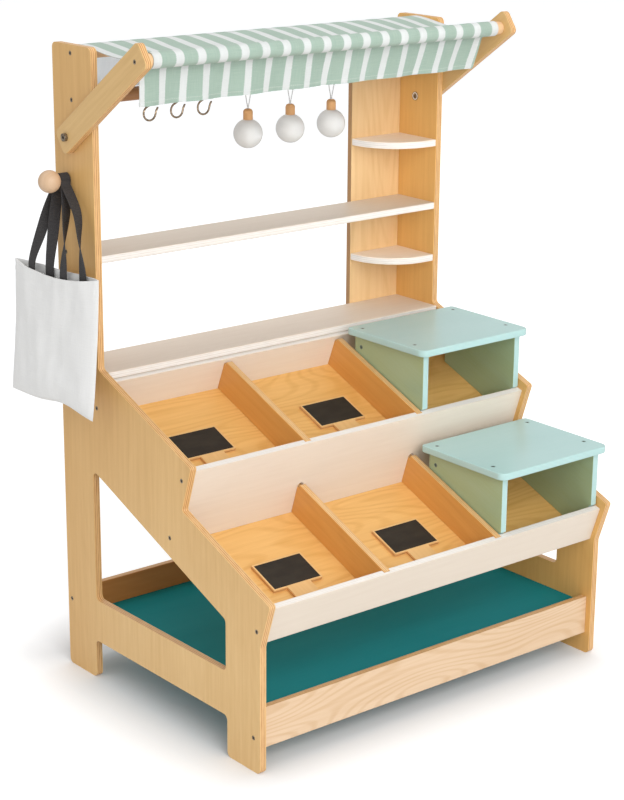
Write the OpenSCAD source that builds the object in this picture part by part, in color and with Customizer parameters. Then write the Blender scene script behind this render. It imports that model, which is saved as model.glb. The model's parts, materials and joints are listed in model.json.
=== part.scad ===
// Toy market stall in 12 mm plywood: two side panels carry sloping trays, shelves and a swing-up canopy.
// Outlines of the side panels are drawn in (d, z): d runs forward from the back of the stall, z runs up.

/* [Frame] */
// Width over the two side panels
stall_w = 740; // [680:1:820]
// Thickness of the plywood
ply = 12; // [10:0.5:14]
// Height of the posts
post_h = 1065; // [1030:1:1120]
// Depth of the posts, front to back
post_d = 110; // [95:1:125]
// Radius of the rounded panel corners
corner_r = 9; // [4:0.5:14]
// Width of the back leg
back_leg = 83; // [70:1:100]
// Width of the front leg
front_leg = 83; // [70:1:100]
// Height of the arch between the feet
arch_h = 69; // [50:1:85]
// Width of the panel behind the cut-out
back_stile = 87; // [70:1:110]
// Width of the panel in front of the cut-out
front_stile = 86; // [70:1:110]
// Height of the sill under the cut-out
sill_z = 143; // [125:1:160]

/* [Trays] */
// Slope of the trays in degrees
slope = 21.8; // [18:0.1:25]
// Height where the slope leaves the post
slope_z = 550; // [530:1:570]
// Length of the upper slope edge
upper_run = 271; // [255:1:290]
// Length of the upper nose's front face
upper_face = 79; // [70:1:86]
// Length of the lower slope edge
lower_run = 239; // [225:1:255]
// Length of the lower nose's front face
lower_face = 77; // [68:1:84]
// Lean of the front faces from plumb in degrees
face_tilt = 18; // [12:0.5:20]
// Depth from the slope edge down to the tray bases
base_drop = 72; // [60:1:78]
// Depth from the slope edge down to the dividers and front boards
board_drop = 15.5; // [8:0.5:22]
// Setback of the front boards behind the panel noses
board_recess = 9; // [5:0.5:13]
// Distance along the slope to the upper back board's front face
back_board_s = 24; // [20:0.5:30]
// Height of the lower front board
lower_board_h = 65; // [60:0.5:72]
// Depth from the lower slope edge down to the top of the cut-out
cut_drop = 93; // [88:0.5:100]
// Height of the step at the top of each divider's rear tenon
tenon_step = 6; // [4:0.5:10]
// Depth of the notches in the front boards
notch_depth = 6; // [3:0.5:8]

/* [Shelves] */
// Depth of the counter top below the slope's start
counter_drop = 3.5; // [2:0.5:8]
// Overhang of the counter in front of the posts
counter_lip = 13; // [8:0.5:16]
// Height of the mid shelf above the middle between the counter and the play lights
mid_shelf_up = 29.75; // [10:0.25:42]
// Depth of the lower corner shelf below the middle between the counter and the mid shelf
low_corner_down = 1.25; // [-15:0.25:25]
// Depth of the upper corner shelf below the middle between the mid shelf and the tower's top
high_corner_down = 33; // [15:1:55]
// Width of the tower back panel and the corner shelves
tower_w = 114; // [100:1:130]
// Distance of the tower back panel's top below the posts' tops
tower_drop = 35; // [25:1:85]
// Straight edge left at each side of the corner shelves' round corner
corner_shelf_flat = 10; // [6:1:30]
// Height of the bottom shelf's top
bottom_z = 94; // [85:1:100]
// Height of the bottom rails
rail_h = 68; // [60:1:72]
// Height of the front rail's lower edge
front_rail_z = 37; // [20:1:40]
// Height of the back rail's lower edge
back_rail_z = 71; // [60:1:74]
// Setback of the front rail behind the front legs
front_rail_recess = 10.5; // [4:0.5:16]
// Setback of the back rail from the back of the stall
back_rail_recess = 5; // [0:0.5:12]

/* [Canopy] */
// Distance of the dowels and pivots from the back of the stall
axis_d = 52.5; // [46:0.5:58]
// Distance of the arm pivots below the posts' tops
pivot_drop = 144; // [130:1:165]
// Length of an arm from its pivot to the front dowel
arm_len = 240; // [225:1:260]
// Rise of the arms in degrees
arm_angle = 35.2; // [28:0.2:42]
// Width of an arm
arm_w = 44; // [38:1:50]
// Length of an arm behind its pivot
arm_tail = 22; // [19:0.5:26]
// Length of an arm past the front dowel
arm_tip = 24; // [19:0.5:28]
// Gap between an arm and its post
arm_gap = 0.5; // [0.3:0.1:0.9]
// Diameter of the dowels
dowel_dia = 22; // [18:0.5:26]
// Distance of the back dowel's axis below the posts' tops
back_dowel_drop = 13.4; // [12:0.1:25]
// Distance of the hook rail's axis below the posts' tops
hook_rail_drop = 86.5; // [80:0.5:100]
// Thickness of the canopy cloth
cloth_t = 1.6; // [1:0.1:2.4]
// Gap between the canopy cloth and each post
cloth_gap = 2; // [1:0.5:8]
// Sag of the roof cloth between the dowels
roof_sag = 13; // [6:0.5:20]
// Distance of the valances' lower edges below the posts' tops
valance_drop = 77; // [70:1:90]
// Depth of the valance folds
fold_depth = 3.5; // [1:0.5:5]
// Folds along a valance
fold_count = 7; // [4:1:9]

/* [Hanging pieces] */
// Diameter of a bulb
bulb_dia = 50; // [44:1:56]
// Distance of the bulbs' centres below the hook rail's axis
bulb_hang = 87.5; // [78:0.5:98]
// Place of the first bulb from the left side
bulb_x = 349; // [320:1:370]
// Distance from bulb to bulb
bulb_pitch = 91; // [70:1:100]
// Diameter of a bulb's wooden neck
neck_dia = 16.5; // [14:0.5:20]
// Height of a bulb's wooden neck
neck_h = 18.5; // [14:0.5:22]
// Diameter of the bulb cord
cord_dia = 2; // [1.4:0.1:2.4]
// Place of the first hook from the left side
hook_x = 152; // [120:1:170]
// Distance from hook to hook
hook_pitch = 54; // [44:1:60]
// Radius of a hook's bowl, at the middle of the wire
hook_r = 12; // [9:0.5:14]
// Diameter of the hook wire
hook_wire = 2.8; // [2:0.1:3.4]
// Diameter of the bag peg's ball
ball_dia = 36.5; // [32:0.5:42]
// Length of the bag peg's neck
peg_neck = 17; // [15:0.5:22]
// Diameter of the bag peg's neck
peg_dia = 14; // [10:0.5:18]
// Distance of the bag peg from the back of the stall
peg_d = 35; // [28:1:45]
// Distance of the bag peg below the posts' tops
peg_drop = 215; // [203:1:230]
// Width of the bag
bag_w = 246; // [200:1:280]
// Height of the bag
bag_h = 226; // [200:1:270]
// Thickness of the bag across its middle
bag_t = 26; // [20:1:30]
// Drop from the peg to the bag's upper edge
bag_drop = 145; // [120:1:170]
// Thickness of the bag cloth and its webbing
bag_cloth = 1.6; // [1:0.1:2]
// Gap between the bag's mouth and the side panel
bag_gap = 12; // [6:0.5:14]
// Angle by which the bag's foot hangs away from the side panel
bag_lean = 3.5; // [0:0.5:4]
// Width of the bag's webbing straps
strap_w = 15; // [10:0.5:18]
// Half the distance between the ends of a strap
strap_reach = 42; // [30:1:55]

/* [Signs and podiums] */
// Width of a sign board
sign_w = 98; // [80:1:110]
// Depth of a sign board
sign_h = 64; // [52:1:72]
// Thickness of a sign board
sign_t = 6; // [4:0.5:9]
// Width of a sign's stem
stem_w = 46; // [30:1:60]
// Length of a sign's stem
stem_len = 68; // [50:1:70]
// Width of the wooden rim round the chalk face
sign_rim = 3; // [2:0.5:6]
// Thickness of the chalk face
chalk_t = 1; // [0.6:0.1:2]
// Overhang of a podium top at each side
podium_over = 12; // [4:0.5:13]
// Depth of a podium top
podium_d = 199; // [180:1:199]
// Height of a podium top over the tray base at its back edge
podium_h = 95.5; // [92:0.5:105]
// Reach of the podium sides over the front board's top
podium_reach = 3; // [1:0.5:5]
// Overhang of a podium top in front of its sides
podium_lip = 12; // [6:0.5:14]
// Overhang of a podium top behind its sides
podium_tail = 10; // [6:0.5:12]
// Setback of the podium batten from the back of the sides
batten_recess = 10; // [8:0.5:20]
// Distance from a podium top's back edge to its rear screws
podium_screw_rear = 22; // [18:0.5:26]
// Distance between a podium's rear and front screws
podium_screw_pitch = 135.5; // [110:0.5:145]
// Height of the podium batten
batten_h = 40; // [36:1:50]
// Radius of the podium top's corners
podium_r = 15; // [6:1:24]

/* [Fasteners and clearances] */
// Radius of a frame screw's shank
screw_r = 2; // [1.5:0.1:2.5]
// Radius of a frame screw's head
head_r = 3.6; // [3:0.1:4.5]
// Length of a frame screw
screw_len = 38; // [28:1:44]
// Length of a podium screw
podium_screw_len = 26; // [20:1:28]
// Radius of a pivot bolt
bolt_r = 4; // [3:0.1:5]
// Radius of a pivot bolt's head
bolt_head_r = 6.5; // [5.5:0.1:9]
// Height of a pivot bolt's head
bolt_head_h = 5; // [3:0.1:6]
// Radius of a brass insert
insert_r = 6; // [5.6:0.1:7.5]
// Running clearance on a radius
run_clear = 0.05; // [0.02:0.01:0.1]
// Assembly clearance on a side
fit_clear = 0.2; // [0.1:0.05:0.3]
// Clearance of soft pieces
soft_clear = 0.4; // [0.3:0.05:0.8]
// Clearance under the signs and podiums, which lie loose in the trays
seat_clear = 0.1; // [0.05:0.05:0.3]
// Clearance between a podium and its bay, on each side
podium_clear = 2; // [1:0.1:4]

/* [Hidden] */
$fn = 64;
arc_steps = 6;
head_h = 3;
hex_r = 1.9;
hex_depth = 2;
skin = 0.1;
lap = 1;
hook_seat = 8;
hook_shank = 3;
hook_lean = 1.2;
hook_back = 3.5;
hook_tip = [[1.5, 4.5], [4.5, 8.5]];
wire_sides = 8;
tenon_start = 4;
mortise_gap = 2;
back_board_screw_rise = 8;
front_board_screw_in = [17, 22];
lower_board_screw_drop = 42;
back_rail_screw_drop = 18;
front_rail_screw_rise = 20;
peg_step = 2;
bolt_hex_r = 2.8;
insert_set = 2;
insert_flange_h = 1;
insert_flange = 2;
wrap_steps = 12;
rear_wrap_angle = 235;
front_wrap_angle = -160;
hang_angle = 205;
fold_phase_angle = 40;
sign_r = 2;
strap_tuck = 30;
strap_stagger = 2.5;
strap_apart = 5;

birch = [0.87, 0.69, 0.45];
golden = [0.88, 0.62, 0.33];
whitewash = [0.90, 0.83, 0.77];
mint = [0.66, 0.80, 0.74];
teal = [0.10, 0.35, 0.40];
sage = [0.66, 0.78, 0.69];
steel = [0.25, 0.25, 0.26];
brass = [0.70, 0.55, 0.28];

inner_w = stall_w - 2 * ply;
slope_dir = [cos(slope), -sin(slope)];
slope_nrm = [sin(slope), cos(slope)];
face_dir = [sin(face_tilt), cos(face_tilt)];
face_nrm = [cos(face_tilt), -sin(face_tilt)];

upper_start = [post_d, slope_z];
upper_nose = upper_start + upper_run * slope_dir;
lower_start = upper_nose - upper_face * face_dir;
lower_nose = lower_start + lower_run * slope_dir;
knuckle = lower_nose - lower_face * face_dir;
leg_front = knuckle[0];

function on_slope(start, s, off) = start + s * slope_dir + off * slope_nrm;
function unit(v) = v / norm(v);

// Point at a depth below the slope edge on a line that leans as the front faces do
function on_face(start, through, off) =
    through + face_dir * (off - (through - start) * slope_nrm) / (face_dir * slope_nrm);

// Front boards: their front faces lie behind the panel noses
upper_board_top = on_face(upper_start, upper_nose - board_recess * face_nrm, -board_drop);
lower_board_top = on_face(lower_start, lower_nose - board_recess * face_nrm, -board_drop);
upper_board_back = upper_board_top - ply * face_nrm;
lower_board_back = lower_board_top - ply * face_nrm;
base_low = base_drop + ply;
upper_board_h = (upper_board_top - on_face(lower_start, upper_board_top, -base_low)) * face_dir + lap;

tray_start = [upper_start, lower_start];
tray_back = [upper_board_back, lower_board_back];

counter_z = slope_z - counter_drop;
back_board_drop = (counter_drop + ply + skin - (back_board_s - ply) * sin(slope)) / cos(slope);

bay_w = (inner_w - 2 * ply) / 3;
divider_x = [ply + bay_w, ply + 2 * bay_w + ply];
bay_x = [ply, divider_x[0] + ply, divider_x[1] + ply];

tower_x = stall_w - ply - tower_w;
front_rail_d = leg_front - front_rail_recess - ply;

tower_z = post_h - tower_drop;
pivot_z = post_h - pivot_drop;
back_dowel_z = post_h - back_dowel_drop;
hook_rail_z = post_h - hook_rail_drop;
valance_z = post_h - valance_drop;
bulb_z = hook_rail_z - bulb_hang;
mid_z = (counter_z + bulb_z - bulb_dia / 2) / 2 + mid_shelf_up;
low_corner_z = (counter_z + mid_z) / 2 - low_corner_down;
high_corner_z = (mid_z + tower_z) / 2 - high_corner_down;
peg_z = post_h - peg_drop;
corner_shelf_r = post_d - ply - corner_shelf_flat;

pivot = [axis_d, pivot_z];
dowel_r = dowel_dia / 2;
front_dowel = pivot + arm_len * [cos(arm_angle), sin(arm_angle)];
back_dowel_at = [axis_d, back_dowel_z];
hook_rail_at = [axis_d, hook_rail_z];
arm_x = -arm_gap - ply;
dowel_len = stall_w + 2 * arm_gap;
sleeve_in = dowel_r + soft_clear;
sleeve_out = sleeve_in + cloth_t;

screw_mid = ply / 2;
mid_screw = [2 * ply, mid_z - screw_mid];
back_board_screw = on_slope(upper_start, back_board_s - screw_mid, -base_drop + back_board_screw_rise);
upper_board_mid = upper_board_top - screw_mid * face_nrm;
upper_board_screws = [
    upper_board_mid - front_board_screw_in[0] * face_dir,
    upper_board_mid - (upper_board_h - front_board_screw_in[1]) * face_dir];
lower_board_screw = lower_board_top - screw_mid * face_nrm - lower_board_screw_drop * face_dir;
back_rail_screw = [back_rail_recess + screw_mid, back_rail_z + rail_h - back_rail_screw_drop];
front_rail_screw = [front_rail_d + screw_mid, front_rail_z + front_rail_screw_rise];
frame_screw_at = concat(
    [back_dowel_at, hook_rail_at, mid_screw, back_board_screw],
    upper_board_screws,
    [lower_board_screw, back_rail_screw, front_rail_screw]);

ball_x = -peg_neck - sqrt(pow(ball_dia / 2, 2) - pow(peg_dia / 2, 2));
bag_x = -bag_t / 2 - bag_gap;
bag_top = peg_z - bag_drop;
bag_chord_r = (pow(bag_w / 2, 2) + pow(bag_t / 2, 2)) / bag_t;

// Signs: places along the slope, and sideways from the middle of their bays
sign_s = [118, 90];
sign_shift = [[-7, 28], [12, 20]];
function sign_x(tray, k) = bay_x[k] + bay_w / 2 + sign_shift[tray][k];

// The origin lies on the floor under the middle of the whole object
low_x = ball_x - ball_dia / 2;
high_x = stall_w + arm_gap + ply + skin + bolt_head_h;
low_d = min(0, peg_d - bag_w / 2);
mid_x = (low_x + high_x) / 2;
mid_d = (low_d + lower_nose[0]) / 2;

TRAYS = ["upper", "lower"];

// Outline with rounded corners: each point is [d, z, radius]
function flat(p) = [p[0], p[1]];
function arc_corner(a, b, c, r) =
    let (
        u = unit(a - b),
        v = unit(c - b),
        half = acos(u * v) / 2,
        centre = b + unit(u + v) * r / sin(half),
        p0 = b + u * r / tan(half) - centre,
        p1 = b + v * r / tan(half) - centre,
        from = atan2(p0[1], p0[0]),
        turn = atan2(p1[1], p1[0]) - from,
        sweep = turn > 180 ? turn - 360 : turn < -180 ? turn + 360 : turn)
    [for (k = [0 : arc_steps])
        let (a = from + sweep * k / arc_steps)
        centre + r * [cos(a), sin(a)]];
function rounded(pts) =
    let (n = len(pts))
    [for (i = [0 : n - 1])
        let (b = pts[i])
        each (b[2] > 0
            ? arc_corner(flat(pts[(i + n - 1) % n]), flat(b), flat(pts[(i + 1) % n]), b[2])
            : [flat(b)])];
function with_r(p, r) = [p[0], p[1], r];

// Moves the finished stall so that its origin lies on the floor under its middle
module place() translate([-mid_x, mid_d, 0]) children();

// The same piece on the other side of the stall
module other_side() translate([stall_w, 0, 0]) mirror([1, 0, 0]) children();

// A (d, z) outline made w wide, from x to the right
module slab(x, w) translate([x + w, 0, 0]) rotate([90, 0, -90]) linear_extrude(w) children();

// An (x, d) outline made h thick, from z up
module plate(z, h) translate([0, 0, z]) mirror([0, 1, 0]) linear_extrude(h) children();

// A round bar along X whose axis is at a (d, z) point
module rod(x, len, at, r) translate([x, -at[0], at[1]]) rotate([0, 90, 0]) cylinder(h = len, r = r);

module box_outline(d0, d1, z0, z1) polygon([[d0, z0], [d1, z0], [d1, z1], [d0, z1]]);

// Screw along +X with its head flush at x = 0
module screw(at, length = screw_len) {
    difference() {
        rod(0, head_h, at, head_r);
        translate([-skin, -at[0], at[1]]) rotate([0, 90, 0])
            cylinder(h = hex_depth + skin, r = hex_r, $fn = 6);
    }
    rod(head_h, length - head_h, at, screw_r);
}

// Room for that screw in a panel or arm of plywood
module screw_room(at) {
    rod(-skin, head_h + skin, at, head_r + fit_clear);
    rod(-skin, ply + 2 * skin, at, screw_r + fit_clear);
}

// Pilot holes at both ends of a board between the side panels
module pilots(points) {
    for (at = points) {
        rod(ply - skin, screw_len - ply + skin + lap, at, screw_r + run_clear);
        other_side() rod(ply - skin, screw_len - ply + skin + lap, at, screw_r + run_clear);
    }
}

// Round tube along points in one plane with normal b
module tube(path, b, r, sides) {
    n = len(path);
    function along(i) = unit(path[min(i + 1, n - 1)] - path[max(i - 1, 0)]);
    points = [for (i = [0 : n - 1]) for (k = [0 : sides - 1])
        path[i] + r * (cos(360 * k / sides) * cross(b, along(i)) + sin(360 * k / sides) * b)];
    walls = [for (i = [0 : n - 2]) for (k = [0 : sides - 1])
        let (a = i * sides + k, c = i * sides + (k + 1) % sides)
        each [[a, a + sides, c + sides], [a, c + sides, c]]];
    last = (n - 1) * sides;
    caps = [for (k = [1 : sides - 2]) each [[0, k, k + 1], [last, last + k + 1, last + k]]];
    polyhedron(points, concat(walls, caps));
}

module side_panel() {
    difference() {
        slab(0, ply) difference() {
            polygon(rounded([
                [0, 0, corner_r],
                [back_leg, 0, corner_r],
                [back_leg, arch_h, corner_r],
                [leg_front - front_leg, arch_h, corner_r],
                [leg_front - front_leg, 0, corner_r],
                [leg_front, 0, corner_r],
                with_r(knuckle, corner_r),
                with_r(lower_nose, corner_r / 2),
                with_r(lower_start, corner_r / 2),
                with_r(upper_nose, corner_r / 2),
                with_r(upper_start, corner_r),
                [post_d, post_h, corner_r],
                [0, post_h, corner_r]]));
            polygon(rounded([
                [back_stile, sill_z, corner_r],
                [leg_front - front_stile, sill_z, corner_r],
                [leg_front - front_stile, cut_top(leg_front - front_stile), corner_r],
                [back_stile, cut_top(back_stile), corner_r]]));
        }
        for (at = frame_screw_at) screw_room(at);
        rod(-skin, ply + 2 * skin, pivot, insert_r + run_clear);
    }
}
function cut_top(d) = lower_start[1] - (d - lower_start[0]) * tan(slope) - cut_drop / cos(slope);

module side_panel_left() color(birch) place() difference() {
    side_panel();
    rod(-skin, ply + 2 * skin, [peg_d, peg_z], peg_dia / 2 - peg_step + run_clear);
}
module side_panel_right() color(birch) place() other_side() side_panel();

// Tray bases butt against the boards in front of and behind them
module upper_tray_base() color(golden) place() slab(ply, inner_w) polygon([
    on_slope(upper_start, back_board_s, -base_drop),
    on_slope(upper_start, back_board_s, -base_low),
    on_face(upper_start, upper_board_back, -base_low),
    on_face(upper_start, upper_board_back, -base_drop)]);
module lower_tray_base() color(golden) place() slab(ply, inner_w) polygon([
    on_face(lower_start, upper_board_top, -base_drop),
    on_face(lower_start, upper_board_top, -base_low),
    on_face(lower_start, lower_board_back, -base_low),
    on_face(lower_start, lower_board_back, -base_drop)]);

// Dividers: a stepped tenon behind, a square tongue in front
module upper_divider(i) color(golden) place() slab(divider_x[i], ply) upper_divider_outline();
module upper_divider_outline() polygon([
    on_slope(upper_start, back_board_s - ply, -base_drop),
    on_slope(upper_start, back_board_s - ply, -board_drop - tenon_step),
    on_slope(upper_start, back_board_s + tenon_start, -board_drop - tenon_step),
    on_slope(upper_start, back_board_s + tenon_start, -board_drop),
    on_face(upper_start, upper_board_back + notch_depth * face_nrm, -board_drop),
    on_face(upper_start, upper_board_back + notch_depth * face_nrm, -base_drop)]);
module lower_divider(i) color(golden) place() slab(divider_x[i], ply) lower_divider_outline();
module lower_divider_outline() polygon([
    on_face(lower_start, upper_board_back, -base_drop),
    on_face(lower_start, upper_board_back, -board_drop - tenon_step),
    on_face(lower_start, upper_board_top + tenon_start * face_nrm, -board_drop - tenon_step),
    on_face(lower_start, upper_board_top + tenon_start * face_nrm, -board_drop),
    on_face(lower_start, lower_board_back + notch_depth * face_nrm, -board_drop),
    on_face(lower_start, lower_board_back + notch_depth * face_nrm, -base_drop)]);

module upper_back_board() color(whitewash) place() difference() {
    slab(ply, inner_w) polygon([
        on_slope(upper_start, back_board_s - ply, -base_low),
        on_slope(upper_start, back_board_s, -base_low),
        on_slope(upper_start, back_board_s, -back_board_drop),
        on_slope(upper_start, back_board_s - ply, -back_board_drop)]);
    for (x = divider_x) slab(x - fit_clear, ply + 2 * fit_clear) polygon([
        on_slope(upper_start, back_board_s - ply - lap, -base_drop),
        on_slope(upper_start, back_board_s + lap, -base_drop),
        on_slope(upper_start, back_board_s + lap, -board_drop - tenon_step + mortise_gap),
        on_slope(upper_start, back_board_s - ply - lap, -board_drop - tenon_step + mortise_gap)]);
    pilots([back_board_screw]);
}

// Board with a leaning front face, given its top front corner
module leaning_board(top, h) slab(ply, inner_w) polygon([
    top,
    top - ply * face_nrm,
    top - ply * face_nrm - h * face_dir,
    top - h * face_dir]);

// Notches for the dividers' tongues, open at the top
module tongue_notches(start, back) for (x = divider_x) slab(x - fit_clear, ply + 2 * fit_clear) polygon([
    on_face(start, back - face_nrm, -base_drop),
    on_face(start, back + (notch_depth + fit_clear) * face_nrm, -base_drop),
    on_face(start, back + (notch_depth + fit_clear) * face_nrm, ply),
    on_face(start, back - face_nrm, ply)]);

module upper_front_board() color(whitewash) place() difference() {
    leaning_board(upper_board_top, upper_board_h);
    tongue_notches(upper_start, upper_board_back);
    for (x = divider_x) round_mortise(x);
    pilots(upper_board_screws);
}

// Slot for a lower divider's tenon, with the round top that a router leaves
module round_mortise(x) {
    low_back = on_face(lower_start, upper_board_back, -board_drop - tenon_step);
    slab(x - fit_clear, ply + 2 * fit_clear) polygon([
        on_face(lower_start, upper_board_back - face_nrm, -base_drop),
        on_face(lower_start, upper_board_top + face_nrm, -base_drop),
        low_back + (ply + lap) * face_nrm,
        low_back - lap * face_nrm]);
    translate([x + ply / 2, lap * face_nrm[0] - low_back[0], low_back[1] - lap * face_nrm[1]])
        rotate([90 + face_tilt, 0, 0]) cylinder(h = ply + 2 * lap, r = ply / 2 + fit_clear);
}
module lower_front_board() color(whitewash) place() difference() {
    leaning_board(lower_board_top, lower_board_h);
    tongue_notches(lower_start, lower_board_back);
    pilots([lower_board_screw]);
}

module counter_shelf() color(whitewash) place() slab(ply, inner_w)
    box_outline(ply, post_d + counter_lip, counter_z - ply, counter_z);
module mid_shelf() color(whitewash) place() difference() {
    slab(ply, inner_w) box_outline(ply, post_d, mid_z - ply, mid_z);
    pilots([mid_screw]);
}
module tower_back_panel() color(birch) place() slab(tower_x, tower_w)
    box_outline(0, ply, counter_z - ply, tower_z);
module corner_shelf(z) color(whitewash) place() plate(z - ply, ply) polygon(rounded([
    [tower_x, ply, 0],
    [tower_x + tower_w, ply, 0],
    [tower_x + tower_w, post_d, 0],
    [tower_x, post_d, corner_shelf_r]]));

module bottom_shelf() color(teal) place() slab(ply, inner_w)
    box_outline(back_rail_recess + ply, front_rail_d, bottom_z - ply, bottom_z);
module bottom_front_rail() color(birch) place() difference() {
    slab(ply, inner_w) box_outline(front_rail_d, front_rail_d + ply, front_rail_z, front_rail_z + rail_h);
    pilots([front_rail_screw]);
}
module bottom_back_rail() color(birch) place() difference() {
    slab(ply, inner_w)
        box_outline(back_rail_recess, back_rail_recess + ply, back_rail_z, back_rail_z + rail_h);
    pilots([back_rail_screw]);
}

module back_dowel() color(birch) place() difference() {
    rod(ply, inner_w, back_dowel_at, dowel_r);
    pilots([back_dowel_at]);
}
module hook_rail() color([0.66, 0.46, 0.27]) place() difference() {
    rod(ply, inner_w, hook_rail_at, dowel_r);
    pilots([hook_rail_at]);
    for (k = [0 : 2]) translate([hook_x + k * hook_pitch, -axis_d, hook_rail_z - dowel_r - lap])
        cylinder(h = hook_seat + lap + skin, r = hook_wire / 2 + fit_clear);
}

// Cup hooks: a straight shank, a round bowl and a tip that flares out
hook_bowl = [-hook_back, -1.4 * hook_r - 2 * hook_back];
function hook_point(k, p) = [hook_x + k * hook_pitch + p[0], -axis_d, hook_rail_z - dowel_r + p[1]];
hook_path = concat(
    [[0, hook_seat], [0, 0], [0, -hook_shank], [-hook_lean, hook_bowl[1] + hook_r + 2]],
    [for (a = [100 : 20 : 360]) hook_bowl + hook_r * [cos(a), sin(a)]],
    [for (p = hook_tip) hook_bowl + [hook_r, 0] + p]);
module cup_hooks() color(brass) place() for (k = [0 : 2])
    tube([for (p = hook_path) hook_point(k, p)], [0, 1, 0], hook_wire / 2, wire_sides);

module bag_peg() color(birch) place() translate([0, -peg_d, peg_z]) rotate([0, -90, 0]) {
    translate([0, 0, skin - ply]) cylinder(h = ply - skin + lap, r = peg_dia / 2 - peg_step);
    cylinder(h = peg_neck + lap, r = peg_dia / 2);
    translate([0, 0, -ball_x]) sphere(d = ball_dia);
}

module frame_screws() color(steel) place() for (at = frame_screw_at) {
    screw(at);
    other_side() screw(at);
}

// The arms turn on these bolts, which are held by the inserts in the posts
module pivot_bolt() difference() {
    union() {
        rod(arm_x - skin - bolt_head_h, bolt_head_h, pivot, bolt_head_r);
        rod(arm_x - skin, ply + skin - arm_x, pivot, bolt_r);
    }
    translate([arm_x - skin - bolt_head_h - skin, -axis_d, pivot_z]) rotate([0, 90, 0])
        cylinder(h = bolt_head_h - lap, r = bolt_hex_r, $fn = 6);
}
module pivot_bolts() color(steel) place() {
    pivot_bolt();
    other_side() pivot_bolt();
}
module pivot_insert() difference() {
    union() {
        rod(insert_set, ply - insert_set, pivot, insert_r);
        rod(ply, insert_flange_h, pivot, insert_r + insert_flange);
    }
    rod(insert_set - lap, ply + insert_flange_h + lap, pivot, bolt_r + run_clear);
}
module pivot_inserts() color(brass) place() {
    pivot_insert();
    other_side() pivot_insert();
}

module awning_arm() difference() {
    slab(arm_x, ply) translate(pivot) rotate(arm_angle) polygon(rounded([
        [-arm_tail, -arm_w / 2, corner_r],
        [arm_len + arm_tip, -arm_w / 2, corner_r],
        [arm_len + arm_tip, arm_w / 2, corner_r],
        [-arm_tail, arm_w / 2, corner_r]]));
    rod(arm_x - skin, ply + 2 * skin, pivot, bolt_r + run_clear);
    translate([arm_x, 0, 0]) screw_room(front_dowel);
}
module awning_arm_left() color(birch) place() awning_arm();
module awning_arm_right() color(birch) place() other_side() awning_arm();
module front_dowel_bar() color(birch) place() difference() {
    rod(-arm_gap, dowel_len, front_dowel, dowel_r);
    translate([arm_x, 0, 0]) pilot_in_dowel();
    other_side() translate([arm_x, 0, 0]) pilot_in_dowel();
}
module pilot_in_dowel() rod(ply - skin, screw_len - ply + skin + lap, front_dowel, screw_r + run_clear);
module dowel_screws() color(steel) place() {
    translate([arm_x, 0, 0]) screw(front_dowel);
    other_side() translate([arm_x, 0, 0]) screw(front_dowel);
}

// Roof cloth: a sleeve round each dowel and a sagging sheet between them
roof_lift = atan2(front_dowel[1] - back_dowel_z, front_dowel[0] - axis_d);
function round_dowel(at, from, to, r) =
    [for (k = [0 : wrap_steps])
        let (a = from + (to - from) * k / wrap_steps)
        at + r * [cos(a), sin(a)]];
function sagging(r) = [for (k = [1 : wrap_steps - 1])
    let (u = k / wrap_steps, q = back_dowel_at + u * (front_dowel - back_dowel_at))
    q + r * [-sin(roof_lift), cos(roof_lift)] - [0, 4 * roof_sag * u * (1 - u)]];
sag_turn = atan(4 * roof_sag / (front_dowel[0] - axis_d));
function roof_line(r) = concat(
    round_dowel(back_dowel_at, rear_wrap_angle, 90 + roof_lift - sag_turn, r),
    sagging(r),
    round_dowel(front_dowel, 90 + roof_lift + sag_turn, front_wrap_angle, r));
function reversed(list) = [for (i = [len(list) - 1 : -1 : 0]) list[i]];
cloth_w = inner_w - 2 * cloth_gap;
cloth_x = ply + cloth_gap;
module canopy_roof() color(sage) place() slab(cloth_x, cloth_w)
    polygon(concat(roof_line(sleeve_out), reversed(roof_line(sleeve_in))));

// Valance: a hanging strip whose folds grow towards its lower edge
fold_steps = 8;
drop_steps = 4;
module valance(top, bottom) {
    nx = fold_count * fold_steps;
    nz = drop_steps;
    layer = (nx + 1) * (nz + 1);
    function at(i, j, side) =
        let (v = j / nz, p = top + v * (bottom - top), wave = sin(360 * fold_count * i / nx + fold_phase_angle))
        [cloth_x + cloth_w * i / nx, -p[0] - fold_depth * v * wave - side * cloth_t / 2, p[1]];
    function f(i, j) = i * (nz + 1) + j;
    function b(i, j) = layer + f(i, j);
    points = [for (side = [1, -1]) for (i = [0 : nx]) for (j = [0 : nz]) at(i, j, side)];
    sheets = [for (i = [0 : nx - 1]) for (j = [0 : nz - 1]) each [
        [f(i, j), f(i + 1, j), f(i + 1, j + 1)],
        [f(i, j), f(i + 1, j + 1), f(i, j + 1)],
        [b(i, j), b(i + 1, j + 1), b(i + 1, j)],
        [b(i, j), b(i, j + 1), b(i + 1, j + 1)]]];
    long_edges = [for (i = [0 : nx - 1]) each [
        [b(i, 0), b(i + 1, 0), f(i + 1, 0)],
        [b(i, 0), f(i + 1, 0), f(i, 0)],
        [b(i, nz), f(i + 1, nz), b(i + 1, nz)],
        [b(i, nz), f(i, nz), f(i + 1, nz)]]];
    ends = [for (j = [0 : nz - 1]) each [
        [b(0, j), f(0, j), f(0, j + 1)],
        [b(0, j), f(0, j + 1), b(0, j + 1)],
        [b(nx, j), f(nx, j + 1), f(nx, j)],
        [b(nx, j), b(nx, j + 1), f(nx, j + 1)]]];
    polyhedron(points, concat(sheets, long_edges, ends));
}
valance_hang = sleeve_out + soft_clear + cloth_t / 2;
front_top = front_dowel + valance_hang * [cos(hang_angle), sin(hang_angle)];
rear_top = back_dowel_at + valance_hang * [cos(hang_angle), sin(hang_angle)];
front_lean = 20;
rear_lean = 8;
module front_valance() color(sage) place()
    valance(front_top, [front_top[0] - (front_top[1] - valance_z) * tan(front_lean), valance_z]);
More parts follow.
